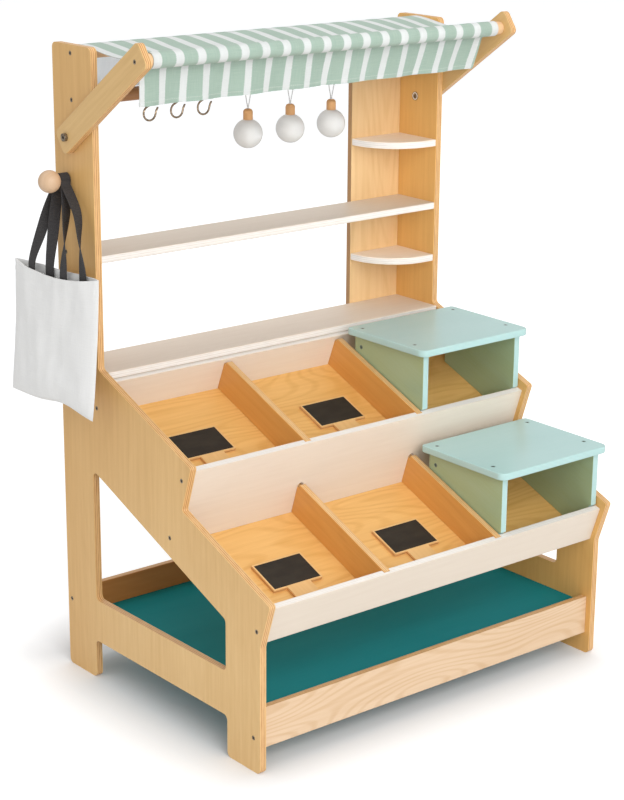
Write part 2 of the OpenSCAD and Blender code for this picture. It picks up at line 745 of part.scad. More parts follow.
module rear_valance() color(sage) place()
    valance(rear_top, [rear_top[0] - (rear_top[1] - valance_z) * tan(rear_lean), valance_z]);

// Bulbs: a ball with a flat seat, a turned neck with a bore for the cord, a loop round the hook rail
bulb_seat = sqrt(pow(bulb_dia / 2, 2) - pow(neck_dia / 2, 2));
neck_top = bulb_z + bulb_seat + neck_h;
neck_round = neck_dia * 0.35;
cord_bore_r = cord_dia * 1.3;
cord_bore_depth = 6;
module at_bulb(k) translate([bulb_x + (k - 1) * bulb_pitch, -axis_d, bulb_z]) children();
module bulb(k) color("white") place() at_bulb(k) difference() {
    sphere(d = bulb_dia);
    translate([0, 0, bulb_seat]) cylinder(h = bulb_dia, r = bulb_dia);
}
module bulb_neck(k) color(birch) place() at_bulb(k) translate([0, 0, bulb_seat]) difference() {
    rotate_extrude() polygon(concat(
        [[0, 0], [neck_dia / 2, 0]],
        [for (a = [0 : 15 : 90])
            [neck_dia / 2 - neck_round * (1 - cos(a)), neck_h - neck_round * (1 - sin(a))]],
        [[0, neck_h]]));
    translate([0, 0, neck_h - cord_bore_depth]) cylinder(h = cord_bore_depth + 1, r = cord_bore_r);
}
loop_r = dowel_r + soft_clear + cord_dia / 2;
loop_foot = cord_dia * 0.62;
loop_side = 12;
module bulb_cord(k) {
    x = bulb_x + (k - 1) * bulb_pitch;
    foot_z = neck_top - cord_bore_depth + 1;
    half = [
        for (a = [0 : 15 : 90 + loop_side]) [loop_r * sin(a), hook_rail_z + loop_r * cos(a)],
        [loop_foot, neck_top + 2],
        [loop_foot, foot_z]];
    path = concat(reversed(half), [for (i = [1 : len(half) - 1]) [-half[i][0], half[i][1]]]);
    color([0.6, 0.6, 0.6]) place()
        tube([for (p = path) [x, -axis_d - p[0], p[1]]], [1, 0, 0], cord_dia / 2, wire_sides);
}

// Signs: a board with a stem lies on the tray base, its chalk face let into the top
module on_tray(tray, k) {
    foot = on_slope(tray_start[tray], sign_s[tray], seat_clear - base_drop);
    translate([sign_x(tray, k), -foot[0], foot[1]]) rotate([slope, 0, 0]) mirror([0, 1, 0]) children();
}
module sign_board(tray, k) color(birch) place() on_tray(tray, k) difference() {
    linear_extrude(sign_t) polygon(rounded([
        [-sign_w / 2, 0, sign_r],
        [sign_w / 2, 0, sign_r],
        [sign_w / 2, sign_h, sign_r],
        [stem_w / 2, sign_h, sign_r / 2],
        [stem_w / 2, sign_h + stem_len, sign_r],
        [-stem_w / 2, sign_h + stem_len, sign_r],
        [-stem_w / 2, sign_h, sign_r / 2],
        [-sign_w / 2, sign_h, sign_r]]));
    translate([-sign_w / 2 + sign_rim, sign_rim, sign_t - chalk_t])
        cube([sign_w - 2 * sign_rim, sign_h - 2 * sign_rim, chalk_t + 1]);
}
module sign_chalk(tray, k) color([0.08, 0.08, 0.08]) place() on_tray(tray, k)
    translate([-sign_w / 2 + sign_rim + fit_clear, sign_rim + fit_clear, sign_t - chalk_t])
        cube([sign_w - 2 * (sign_rim + fit_clear), sign_h - 2 * (sign_rim + fit_clear), chalk_t]);

// Podiums: a level top on wedge sides that stand on the tray base of the right-hand bay
podium_w = bay_w - 2 * podium_clear + 2 * podium_over;
podium_mid = bay_x[2] + bay_w / 2;
side_gap = bay_w - 2 * podium_clear - 2 * ply;
side_x = [podium_mid - side_gap / 2 - ply, podium_mid + side_gap / 2];
function base_z(tray, d) =
    tray_start[tray][1] - (d - tray_start[tray][0]) * tan(slope) - base_drop / cos(slope);
function podium_at(tray) = tray_back[tray][0] + podium_reach + podium_lip - podium_d;
function podium_z(tray) = base_z(tray, podium_at(tray)) + podium_h;
function batten_d(tray) = podium_at(tray) + podium_tail + batten_recess;
module podium_top(tray) color(mint) place() difference() {
    plate(podium_z(tray) - ply, ply) polygon(rounded([
        [podium_mid - podium_w / 2, podium_at(tray), podium_r / 2],
        [podium_mid + podium_w / 2, podium_at(tray), podium_r / 2],
        [podium_mid + podium_w / 2, podium_at(tray) + podium_d, podium_r],
        [podium_mid - podium_w / 2, podium_at(tray) + podium_d, podium_r]]));
    podium_screw_places(tray) screw_room([0, 0]);
}
module podium_side_outline(tray) {
    d0 = podium_at(tray) + podium_tail;
    d1 = podium_at(tray) + podium_d - podium_lip;
    z1 = podium_z(tray) - ply;
    behind = tray_back[tray] - podium_clear * face_nrm;
    polygon([
        [d0, z1],
        [d0, base_z(tray, d0) + seat_clear / cos(slope)],
        on_face(tray_start[tray], behind, seat_clear - base_drop),
        behind,
        [d1, tray_back[tray][1] + podium_clear],
        [d1, z1]]);
}
module podium_sides(tray) color(mint) place() difference() {
    for (x = side_x) slab(x, ply) podium_side_outline(tray);
    podium_screw_places(tray) podium_pilot();
    batten_screw_places(tray) screw_room([0, 0]);
}
module podium_batten(tray) color(mint) place() difference() {
    slab(side_x[0] + ply, side_gap) box_outline(
        batten_d(tray), batten_d(tray) + ply,
        podium_z(tray) - ply - batten_h, podium_z(tray) - ply);
    batten_screw_places(tray) podium_pilot();
}
module podium_screws(tray) color([0.55, 0.68, 0.62]) place() {
    podium_screw_places(tray) screw([0, 0], podium_screw_len);
    batten_screw_places(tray) screw([0, 0], podium_screw_len);
}
module podium_pilot() rod(ply - skin, podium_screw_len - ply + lap, [0, 0], screw_r + run_clear);
module podium_screw_places(tray) for (x = side_x) for (k = [0, 1])
    translate([x + ply / 2, -podium_at(tray) - podium_screw_rear - k * podium_screw_pitch, podium_z(tray)])
        rotate([0, 90, 0]) children();
module batten_screw_places(tray) {
    at = [batten_d(tray) + ply / 2, podium_z(tray) - ply - batten_h / 2];
    translate([side_x[0], -at[0], at[1]]) children();
    translate([side_x[1] + ply, -at[0], at[1]]) mirror([1, 0, 0]) children();
}

// Bag: two faces that meet at the side seams, open at the top
module lens(chord_r, half_t, w) intersection() {
    translate([chord_r - half_t, 0]) circle(r = chord_r, $fn = 256);
    translate([half_t - chord_r, 0]) circle(r = chord_r, $fn = 256);
    square([2 * half_t, w], center = true);
}
module bag_body() color([0.93, 0.93, 0.92]) place()
    translate([bag_x, -peg_d, bag_top]) rotate([0, bag_lean, 0]) translate([0, 0, -bag_h]) difference() {
        linear_extrude(bag_h) lens(bag_chord_r, bag_t / 2, bag_w);
        translate([0, 0, 2 * bag_cloth]) linear_extrude(bag_h)
            lens(bag_chord_r - bag_cloth, bag_t / 2 - bag_cloth, bag_w - 8 * bag_cloth);
    }

// Straps: flat bands that hang over the peg's neck and reach down inside the bag
strap_in = peg_dia / 2 + soft_clear;
strap_deep = bag_drop + strap_tuck;
module strap_outline() {
    difference() {
        circle(r = strap_in + strap_w);
        circle(r = strap_in);
        translate([0, -strap_in - strap_w]) square([4 * strap_w, 2 * (strap_in + strap_w)], center = true);
    }
    for (side = [1, -1]) polygon([
        [side * strap_in, lap],
        [side * (strap_in + strap_w), lap],
        [side * strap_edge, -strap_deep],
        [side * (strap_reach - strap_w / 2), -strap_deep]]);
}
strap_edge = strap_reach + strap_w / 2;
strap_room =
    sqrt(pow(bag_chord_r - bag_cloth, 2) - pow(strap_edge, 2)) - bag_chord_r + bag_t / 2 - soft_clear;
strap_foot_x = bag_x - strap_tuck * sin(bag_lean);
far_strap_x = strap_stagger - peg_neck;
near_strap_x = far_strap_x + strap_apart;
module hung_strap(top_x, foot_x) translate([top_x, 0, 0])
    rotate([0, atan2(top_x - foot_x, strap_deep), 0]) slab(0, bag_cloth) strap_outline();
module bag_straps() color([0.1, 0.1, 0.1]) place() translate([0, -peg_d, peg_z]) {
    hung_strap(near_strap_x, strap_foot_x + strap_room - bag_cloth);
    hung_strap(far_strap_x, strap_foot_x - strap_room);
}

side_panel_left();
side_panel_right();
upper_tray_base();
lower_tray_base();
upper_back_board();
upper_front_board();
lower_front_board();
for (k = [1, 2]) {
    upper_divider(k - 1);
    lower_divider(k - 1);
}
counter_shelf();
mid_shelf();
tower_back_panel();
corner_shelf(high_corner_z);  // corner_shelf_upper
corner_shelf(low_corner_z);  // corner_shelf_lower
bottom_shelf();
bottom_front_rail();
bottom_back_rail();
back_dowel();
hook_rail();
cup_hooks();
bag_peg();
frame_screws();
pivot_bolts();
pivot_inserts();
awning_arm_left();
awning_arm_right();
front_dowel_bar();  // front_dowel
dowel_screws();
canopy_roof();
front_valance();
rear_valance();
for (k = [1, 2, 3]) {
    bulb(k);
    bulb_neck(k);
    bulb_cord(k);
}
for (tray = [0, 1]) {
    name = TRAYS[tray];
    for (k = [1, 2]) {
        sign_board(tray, k - 1);
        sign_chalk(tray, k - 1);
    }
    podium_top(tray);
    podium_sides(tray);
    podium_batten(tray);
    podium_screws(tray);
}
bag_body();
bag_straps();
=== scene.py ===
import json
import math

import bpy
import numpy as np
from mathutils import Matrix, Vector, noise

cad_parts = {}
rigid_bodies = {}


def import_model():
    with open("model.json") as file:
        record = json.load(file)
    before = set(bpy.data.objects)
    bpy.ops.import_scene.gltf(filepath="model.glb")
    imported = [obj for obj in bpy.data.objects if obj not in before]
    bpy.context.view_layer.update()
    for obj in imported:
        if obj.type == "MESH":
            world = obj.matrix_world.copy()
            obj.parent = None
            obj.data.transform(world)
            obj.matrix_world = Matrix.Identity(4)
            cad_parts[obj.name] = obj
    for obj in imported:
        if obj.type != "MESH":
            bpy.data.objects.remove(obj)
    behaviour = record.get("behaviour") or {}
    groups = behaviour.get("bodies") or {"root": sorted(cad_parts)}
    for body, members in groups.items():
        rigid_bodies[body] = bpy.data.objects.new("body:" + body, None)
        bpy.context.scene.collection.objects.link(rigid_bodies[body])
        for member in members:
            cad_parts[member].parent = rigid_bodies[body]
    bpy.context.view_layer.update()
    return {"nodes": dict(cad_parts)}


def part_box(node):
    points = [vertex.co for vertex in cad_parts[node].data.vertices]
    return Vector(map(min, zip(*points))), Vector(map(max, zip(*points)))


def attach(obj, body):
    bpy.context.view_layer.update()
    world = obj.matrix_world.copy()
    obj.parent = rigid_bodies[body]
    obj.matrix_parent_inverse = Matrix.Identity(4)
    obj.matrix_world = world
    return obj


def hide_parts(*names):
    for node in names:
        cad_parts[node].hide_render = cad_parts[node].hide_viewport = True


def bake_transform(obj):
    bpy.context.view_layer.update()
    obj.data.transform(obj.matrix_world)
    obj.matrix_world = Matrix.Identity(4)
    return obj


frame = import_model()


# Camera
# It stands to the left of the stall's front, a little above the canopy, at the place and
# with the lens that bring the stall to its place in a picture 624 pixels wide and 800 high.
camera_place = Vector((-2.04708, -2.48801, 1.45080))
camera_azimuth = math.radians(-39.314)
camera_elevation = math.radians(17.034)
camera_roll = math.radians(0.428)
focal_pixels = 2000.495
picture_height_pixels = 800
sensor_mm = 36

camera_back = Vector((
    math.sin(camera_azimuth) * math.cos(camera_elevation),
    -math.cos(camera_azimuth) * math.cos(camera_elevation),
    math.sin(camera_elevation)))
level_right = Vector((math.cos(camera_azimuth), math.sin(camera_azimuth), 0))
level_up = camera_back.cross(level_right)
camera_right = math.cos(camera_roll) * level_right + math.sin(camera_roll) * level_up
camera_up = math.cos(camera_roll) * level_up - math.sin(camera_roll) * level_right
camera_turn = Matrix((camera_right, camera_up, camera_back)).transposed().to_4x4()

scene = bpy.context.scene
camera_data = bpy.data.cameras.new("camera")
camera_data.sensor_width = sensor_mm
camera_data.lens = focal_pixels / picture_height_pixels * sensor_mm
camera = bpy.data.objects.new("camera", camera_data)
camera.matrix_world = Matrix.Translation(camera_place) @ camera_turn
scene.collection.objects.link(camera)
scene.camera = camera


# Studio
# A plain pale floor under an even white surround. For the camera the floor glows white away from the stall,
# as on a seamless backdrop; under the stall's footprint the glow is left out, a painted shadow, darker and
# faintly blue.
# A soft lamp hangs over the stall, another lights its front, a small one fills the tower's corner.
floor_size = 60.0
floor_colour = (0.82, 0.82, 0.82, 1)
floor_unlit = (0, 0, 0, 1)
# Painted shadow: under the stall the floor's glow is left out but for a faint blue; away from it the glow is
# faintly blue, which offsets the warm light bounced off the stall.
painted_shadow_under = (0.0, 0.003, 0.006, 1)
wash_out_away = (0.36, 0.372, 0.385, 1)
half_footprint = (0.35, 0.28, 0.0)
wash_out_full = 0.14
surround_colour = (1.0, 1.0, 1.0, 1)
surround_strength = 0.76


def wire(tree, kind, values=None, **settings):
    """A new shader node with its settings, its sockets filled with values or linked to other nodes."""
    node = tree.nodes.new("ShaderNode" + kind)
    for name, value in settings.items():
        setattr(node, name, value)
    for key, value in (values or {}).items():
        if isinstance(value, bpy.types.NodeSocket):
            tree.links.new(value, node.inputs[key])
        else:
            node.inputs[key].default_value = value
    return node


def new_finish(name, roughness, sockets=None):
    """A new material, its node tree and its Principled shader, with its roughness and other sockets set."""
    material = bpy.data.materials.new(name)
    material.use_nodes = True
    shader = material.node_tree.nodes["Principled BSDF"]
    shader.inputs["Roughness"].default_value = roughness
    for socket, value in (sockets or {}).items():
        shader.inputs[socket].default_value = value
    return material, material.node_tree, shader


def vectors(tree, operation, first, second=(0, 0, 0)):
    """The vector that one sum of two vectors gives."""
    return wire(tree, "VectorMath", {0: first, 1: second}, operation=operation).outputs[0]


def spread(tree, value, low, high):
    """A value spread so that low becomes 0 and high becomes 1."""
    return wire(tree, "MapRange", {"Value": value, "From Min": low, "From Max": high}).outputs[0]


def mixed(tree, share, first, second):
    """Two colours mixed by a share."""
    return wire(tree, "Mix", {0: share, 6: first, 7: second}, data_type="RGBA").outputs[2]


def soft_lamp(name, place, aim, size, power, beam=180):
    """A square soft lamp at a place, aimed at a point, with its beam's full angle in degrees."""
    lamp_data = bpy.data.lights.new(name, "AREA")
    lamp_data.size = size
    lamp_data.energy = power
    lamp_data.spread = math.radians(beam)
    lamp = bpy.data.objects.new(name, lamp_data)
    lamp.location = place
    lamp.rotation_euler = (Vector(aim) - Vector(place)).to_track_quat("-Z", "Y").to_euler()
    scene.collection.objects.link(lamp)


bpy.ops.mesh.primitive_plane_add(size=floor_size)
floor = bpy.context.object
floor.name = "floor"
floor_finish, floor_tree, floor_shader = new_finish(
    "pale_floor", 0.9, {"Base Color": floor_colour, "Emission Strength": 1.0})
floor_seen = wire(floor_tree, "LightPath").outputs["Is Camera Ray"]
floor_place = wire(floor_tree, "TexCoord").outputs["Object"]
floor_reach = vectors(floor_tree, "ABSOLUTE", floor_place)
floor_past = vectors(floor_tree, "SUBTRACT", floor_reach, half_footprint)
floor_out = vectors(floor_tree, "MAXIMUM", floor_past)
floor_away = wire(floor_tree, "VectorMath", {0: floor_out}, operation="LENGTH").outputs["Value"]
# Painted shadow: the glow fades in from the footprint's edge.
floor_share = spread(floor_tree, floor_away, 0.0, wash_out_full)
floor_wash = mixed(floor_tree, floor_share, painted_shadow_under, wash_out_away)
floor_glow = mixed(floor_tree, floor_seen, floor_unlit, floor_wash)
floor_tree.links.new(floor_glow, floor_shader.inputs["Emission Color"])
floor.data.materials.append(floor_finish)

world = bpy.data.worlds.new("surround")
world.use_nodes = True
surround = world.node_tree.nodes["Background"].inputs
surround["Color"].default_value = surround_colour
surround["Strength"].default_value = surround_strength
scene.world = world
scene.view_settings.view_transform = "Standard"
soft_lamp("overhead_lamp", place=(0.9, 0.9, 5.0), aim=(0.0, 0.0, 0.4), size=3.0, power=40)
soft_lamp("front_lamp", place=(-1.15, -3.9, 2.6), aim=(0.0, 0.0, 0.6), size=3.0, power=128)
soft_lamp("tower_lamp", place=(-1.7, -2.9, 1.5), aim=(0.32, 0.15, 0.80), size=0.6, power=0.3, beam=16)


# Side panels
# Each is one sheet of birch plywood, cut to the stepped outline with its post and two legs.
# The edges are rounded over with a router, and the sheet is sealed with a satin lacquer. The left one is
# coloured paler toward its front foot, and the right one warmer, painted warm light bounced onto its inner
# face.
panel_ease = 0.0012
panel_tones = (0.72, 0.45, 0.175, 1), (0.56, 0.31, 0.095, 1)
panel_edges = (0.74, 0.47, 0.215, 1), (0.45, 0.20, 0.06, 1)
paler_foot_tones = (0.80, 0.545, 0.250, 1), (0.625, 0.375, 0.136, 1)
# The right panel's warmer tones are painted warm light, bounced onto its inner face in the tower's shade.
warm_shaded_right_tones = (0.79, 0.465, 0.152, 1), (0.62, 0.315, 0.080, 1)
paler_heights = (0.55, 0.15)
paler_depths = (0.22, 0.05)
plain_rings = 95.0
ply_layer = 0.00171
board_shift = 1.7
weld = 0.00002
least_eased_face = 0.000009
flat_angle = math.radians(1)
sharp_angle = math.radians(30)
smooth_angle = math.radians(50)


def take_up(piece):
    """Makes a piece the only one that the next operators act on."""
    bpy.ops.object.select_all(action="DESELECT")
    piece.select_set(True)
    bpy.context.view_layer.objects.active = piece


def apply_modifier(piece, kind, **settings):
    """Puts a modifier on a piece and applies it."""
    take_up(piece)
    modifier = piece.modifiers.new(kind.lower(), kind)
    for name, value in settings.items():
        setattr(modifier, name, value)
    bpy.ops.object.modifier_apply(modifier=modifier.name)


def open_up(piece):
    """Takes a piece into Edit Mode with all its edges selected."""
    take_up(piece)
    bpy.ops.object.mode_set(mode="EDIT")
    bpy.ops.mesh.select_mode(type="EDGE")
    bpy.ops.mesh.select_all(action="SELECT")


def close_up():
    """Takes the piece that is opened up back to Object Mode."""
    bpy.ops.object.mode_set(mode="OBJECT")


def bare_copy(node):
    """A copy of a CAD piece without its finish, welded and opened up."""
    piece = bpy.data.objects.new(node + "_piece", frame["nodes"][node].data.copy())
    scene.collection.objects.link(piece)
    piece.data.materials.clear()
    open_up(piece)
    bpy.ops.mesh.remove_doubles(threshold=weld)
    bpy.ops.mesh.customdata_custom_splitnormals_clear()
    return piece


def eased_copy(node, ease):
    """A copy of a CAD piece with whole faces, whose sharp edges, but not those of its bores, are rounded."""
    piece = bare_copy(node)
    bpy.ops.mesh.dissolve_limited(angle_limit=flat_angle)
    bpy.ops.mesh.select_all(action="DESELECT")
    bpy.ops.mesh.edges_select_sharp(sharpness=sharp_angle)
    close_up()
    for face in piece.data.polygons:
        if face.area < least_eased_face:
            for corner in face.loop_indices:
                piece.data.edges[piece.data.loops[corner].edge_index].select = False
    bpy.ops.object.mode_set(mode="EDIT")
    bpy.ops.mesh.bevel(offset=ease, segments=2, affect="EDGES", clamp_overlap=True)
    close_up()
    bpy.ops.object.shade_smooth_by_angle(angle=smooth_angle)
    apply_modifier(piece, "WEIGHTED_NORMAL", weight=90, keep_sharp=True)
    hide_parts(node)
    return piece


def lay_grain(piece, grain, through):
    """Stores each point's place in its board, in metres: along the grain, across it and through the sheet."""
    grain_axis = Vector(grain).normalized()
    through_axis = Vector(through).normalized()
    axes = np.array((grain_axis, through_axis.cross(grain_axis), through_axis))
    points = np.empty(len(piece.data.vertices) * 3)
    piece.data.vertices.foreach_get("co", points)
    places = points.reshape(-1, 3) @ axes.T
    places[:, 2] -= places[:, 2].min()
    places[:, 0] += board_shift * len(bpy.data.objects)
    store = piece.data.attributes.new("board", "FLOAT_VECTOR", "POINT")
    store.data.foreach_set("vector", places.ravel())


def new_group(name, takes, gives):
    """A new shader node group: its tree, the sockets that it is given and those that it gives."""
    tree = bpy.data.node_groups.new(name, "ShaderNodeTree")
    for socket, kind in takes.items():
        tree.interface.new_socket(socket, in_out="INPUT", socket_type="NodeSocket" + kind)
    for socket, kind in gives.items():
        tree.interface.new_socket(socket, in_out="OUTPUT", socket_type="NodeSocket" + kind)
    return tree, tree.nodes.new("NodeGroupInput").outputs, tree.nodes.new("NodeGroupOutput").inputs


def maths(tree, operation, first, second=0.0):
    """The value of one sum of two values."""
    return wire(tree, "Math", {0: first, 1: second}, operation=operation).outputs[0]


def plus(tree, first, second):
    """Two values added."""
    return maths(tree, "ADD", first, second)


def times(tree, first, second):
    """Two values multiplied."""
    return maths(tree, "MULTIPLY", first, second)


def split(tree, vector):
    """A vector's three values."""
    return wire(tree, "SeparateXYZ", {0: vector}).outputs


def stretched_noise(tree, vector, stretch, detail=2.0):
    """Noise that is drawn out along the grain: stretch gives its marks to the metre each way."""
    place = vectors(tree, "MULTIPLY", vector, stretch)
    return wire(tree, "TexNoise", {"Vector": place, "Scale": 1.0, "Detail": detail}).outputs[0]


def patches(tree, vector, stretch, low, high, detail=2.0):
    """Such noise, spread so that low becomes 0 and high becomes 1."""
    return spread(tree, stretched_noise(tree, vector, stretch, detail), low, high)


def dress(tree, shader, colour, height, strength, depth):
    """Gives a finish its colour and the fine relief of a height: its strength and its depth in metres."""
    tree.links.new(colour, shader.inputs["Base Color"])
    relief = wire(tree, "Bump", {"Height": height, "Strength": strength, "Distance": depth})
    tree.links.new(relief.outputs[0], shader.inputs["Normal"])


# Veneer: broad tones, streaks and fine pores along the grain, and the wavy rings of a peeled log
veneer, given, give = new_group(
    "veneer",
    {"Board": "Vector", "Pale": "Color", "Dark": "Color", "Figure": "Float", "Rings": "Float"},
    {"Color": "Color", "Height": "Float"})
hills = stretched_noise(veneer, given["Board"], (1.6, 8.0, 0.0), 1.0)
rings = maths(veneer, "SINE", times(veneer, hills, given["Rings"]))
ring_lines = times(veneer, spread(veneer, rings, 0.0, 1.0), given["Figure"])
streaks = patches(veneer, given["Board"], (5.0, 130.0, 0.0), 0.3, 0.7)
pores = patches(veneer, given["Board"], (22.0, 900.0, 0.0), 0.35, 0.75)
broad = patches(veneer, given["Board"], (1.5, 6.0, 0.0), 0.3, 0.7)
streak_tone = times(veneer, streaks, 0.30)
pore_tone = times(veneer, pores, 0.22)
broad_tone = times(veneer, broad, 0.30)
fine_tone = plus(veneer, streak_tone, pore_tone)
grain = plus(veneer, fine_tone, plus(veneer, broad_tone, ring_lines))
veneer.links.new(mixed(veneer, grain, given["Pale"], given["Dark"]), give["Color"])
veneer.links.new(plus(veneer, pores, times(veneer, streaks, 0.6)), give["Height"])

# Plywood: veneer on both faces, and between them thin layers whose ends show in turn pale and dark
plywood, given, give = new_group(
    "plywood",
    {"Board": "Vector", "Veneer": "Color", "Edge Pale": "Color", "Edge Dark": "Color", "Thickness": "Float"},
    {"Color": "Color"})
depth = split(plywood, given["Board"])[2]
layer = maths(plywood, "SUBTRACT", maths(plywood, "DIVIDE", depth, ply_layer), 0.5)
dark_layer = spread(plywood, maths(plywood, "PINGPONG", layer, 1.0), 0.40, 0.60)
blotch = patches(plywood, given["Board"], (45.0, 45.0, 400.0), 0.05, 0.60)
layer_end = times(plywood, dark_layer, blotch)
edge_colour = mixed(plywood, layer_end, given["Edge Pale"], given["Edge Dark"])
from_face = maths(plywood, "MINIMUM", depth, maths(plywood, "SUBTRACT", given["Thickness"], depth))
inside = spread(plywood, from_face, 0.0009, 0.0012)
plywood.links.new(mixed(plywood, inside, given["Veneer"], edge_colour), give["Color"])


def plywood_finish(name, tones, figure=0.06, edges=panel_edges, roughness=0.42, thickness=0.012,
                   rings=plain_rings):
    """A lacquered plywood: its veneer's and its edges' pale and dark tones, and the grain's fine relief."""
    finish, tree, shader = new_finish(name, roughness)
    board = wire(tree, "Attribute", attribute_name="board").outputs["Vector"]
    face = wire(tree, "Group", {
        "Board": board, "Pale": tones[0], "Dark": tones[1], "Figure": figure, "Rings": rings},
        node_tree=veneer)
    sheet = wire(tree, "Group", {
        "Board": board, "Veneer": face.outputs["Color"], "Edge Pale": edges[0], "Edge Dark": edges[1],
        "Thickness": thickness}, node_tree=plywood)
    dress(tree, shader, sheet.outputs["Color"], face.outputs["Height"], 0.12, 0.0004)
    return finish


def finished_part(node, body, ease, finish, lie=None):
    """A part of the stall: its CAD piece, eased, with its finish and body, and a board's lie."""
    piece = eased_copy(node, ease)
    if lie:
        lay_grain(piece, *lie)
    piece.data.materials.append(finish)
    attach(piece, body)
    return piece


def finished_board(node, body, ease, grain, through, finish):
    """A board of the stall: a part that also has its grain and the way through its sheet."""
    return finished_part(node, body, ease, finish, (grain, through))


left_ply = plywood_finish("left_ply", panel_tones)
left_tree = left_ply.node_tree
left_place = split(left_tree, wire(left_tree, "TexCoord").outputs["Object"])
# The left panel's colour is mixed toward paler tones lower down and further forward.
lower_share = spread(left_tree, left_place[2], *paler_heights)
forward_share = spread(left_tree, left_place[1], *paler_depths)
toward_foot = times(left_tree, lower_share, forward_share)
left_veneer = next(node for node in left_tree.nodes if getattr(node, "node_tree", None) == veneer)
for socket, plain, pale in zip(("Pale", "Dark"), panel_tones, paler_foot_tones):
    left_tree.links.new(mixed(left_tree, toward_foot, plain, pale), left_veneer.inputs[socket])
warm_shaded_right_ply = plywood_finish("warm_shaded_right_ply", warm_shaded_right_tones)
finished_board("side_panel_left", "stall", panel_ease, (0, 0, 1), (1, 0, 0), left_ply)
finished_board("side_panel_right", "stall", panel_ease, (0, 0, 1), (1, 0, 0), warm_shaded_right_ply)


# Tray floors and dividers
# Two sloping sheets of plywood with a warm golden veneer are the trays' floors. Two dividers stand on
# each one, cut from the same sheet, with tenons let into the boards at both ends. The dividers are
# coloured darker and redder than the floors, painted shade for their faces in the trays.
slope = math.radians(21.8)
down_slope = (0, -math.cos(slope), -math.sin(slope))
off_slope = (0, -math.sin(slope), math.cos(slope))
golden_tones = (0.835, 0.505, 0.180, 1), (0.650, 0.335, 0.080, 1)
golden_edges = (0.76, 0.49, 0.24, 1), (0.56, 0.31, 0.11, 1)
# Painted shade: the dividers' darker tones stand for the shade inside the trays.
shaded_divider_tones = (0.742, 0.378, 0.103, 1), (0.597, 0.265, 0.054, 1)
tray_ease = 0.0008

golden_ply = plywood_finish(
    "golden_ply", golden_tones, figure=0.30, edges=golden_edges, roughness=0.40, rings=170.0)
shaded_divider_ply = plywood_finish("shaded_divider_ply", shaded_divider_tones, figure=0.10, edges=golden_edges)
for tray in ("upper", "lower"):
    finished_board(tray + "_tray_base", "stall", tray_ease, (1, 0, 0), off_slope, golden_ply)
    for number in (1, 2):
        finished_board(
            f"{tray}_divider_{number}", "stall", tray_ease, down_slope, (1, 0, 0), shaded_divider_ply)


# Whitewashed boards and shelves
# The boards that close the trays, the counter, the mid shelf and the two corner shelves are birch plywood
# under a white wash, through which the veneer still shows. Their edges took more of the wash. The wash is
# given in lit and shaded copies: lighter on the corner shelves, painted light under the canopy, and darker on
# the counter, the mid shelf and the lower front board, painted shade.
face_lean = math.radians(18)
off_face = (0, -math.cos(face_lean), -math.sin(face_lean))
# Lit and shaded copies of one wash: painted light on the shelves, painted shade on the counter, mid shelf and
# front board.
lit_and_shaded_wash_tones = {
    "shelf_ply": ((0.93, 0.815, 0.690, 1), (0.85, 0.715, 0.590, 1)),
    "counter_ply": ((0.74, 0.64, 0.54, 1), (0.65, 0.535, 0.43, 1)),
    "mid_shelf_ply": ((0.67, 0.585, 0.495, 1), (0.59, 0.49, 0.395, 1)),
    "board_ply": ((0.79, 0.70, 0.60, 1), (0.715, 0.615, 0.510, 1)),
    "front_board_ply": ((0.70, 0.620, 0.525, 1), (0.64, 0.550, 0.455, 1))}
wash_edges = (0.80, 0.765, 0.72, 1), (0.71, 0.655, 0.60, 1)
wash_ease = 0.0012

lit_and_shaded_washes = {
    name: plywood_finish(name, tones, figure=0.08, edges=wash_edges, roughness=0.45)
    for name, tones in lit_and_shaded_wash_tones.items()}
for node, through, finish in (
        ("upper_back_board", down_slope, "board_ply"),
        ("upper_front_board", off_face, "board_ply"),
        ("lower_front_board", off_face, "front_board_ply"),
        ("counter_shelf", (0, 0, 1), "counter_ply"),
        ("mid_shelf", (0, 0, 1), "mid_shelf_ply"),
        ("corner_shelf_upper", (0, 0, 1), "shelf_ply"),
        ("corner_shelf_lower", (0, 0, 1), "shelf_ply")):
    finished_board(node, "stall", wash_ease, (1, 0, 0), through, lit_and_shaded_washes[finish])


# Tower back panel and bottom rails
# The tower's narrow back panel has a pale, marbled birch veneer, and its edges are coloured dark brown,
# painted shade. The rail that ties the legs in front shows a rosier veneer with a close wavy figure, and the
# one at the back is coloured a darker brown, painted shade for the rail in the shadow under the stall.
tower_tones = (0.79, 0.56, 0.300, 1), (0.65, 0.41, 0.185, 1)
# Painted shade: the tower panel's edges are coloured dark for edges that face away from the light.
shaded_tower_edges = (0.45, 0.25, 0.10, 1), (0.30, 0.15, 0.055, 1)
rail_tones = (0.745, 0.555, 0.380, 1), (0.610, 0.405, 0.230, 1)
# Painted shade: the back rail's darker brown stands for the shadow it lies in under the stall.
shaded_back_rail_tones = (0.54, 0.235, 0.066, 1), (0.43, 0.165, 0.036, 1)

tower_ply = plywood_finish("tower_ply", tower_tones, figure=0.22, edges=shaded_tower_edges)
peach_ply = plywood_finish("peach_ply", rail_tones, figure=0.42, rings=230.0)
shaded_brown_ply = plywood_finish("shaded_brown_ply", shaded_back_rail_tones, figure=0.10)
finished_board("tower_back_panel", "stall", panel_ease, (0, 0, 1), (0, 1, 0), tower_ply)
finished_board("bottom_back_rail", "stall", panel_ease, (1, 0, 0), (0, 1, 0), shaded_brown_ply)
finished_board("bottom_front_rail", "stall", panel_ease, (1, 0, 0), (0, 1, 0), peach_ply)


# Bottom shelf
# A plywood sheet between the legs, sprayed in a deep blue-green satin paint that follows the grain a little.
# It lies between the front and the back rail, butted against both.
teal_tones = (0.004, 0.200, 0.222, 1), (0.012, 0.245, 0.270, 1)

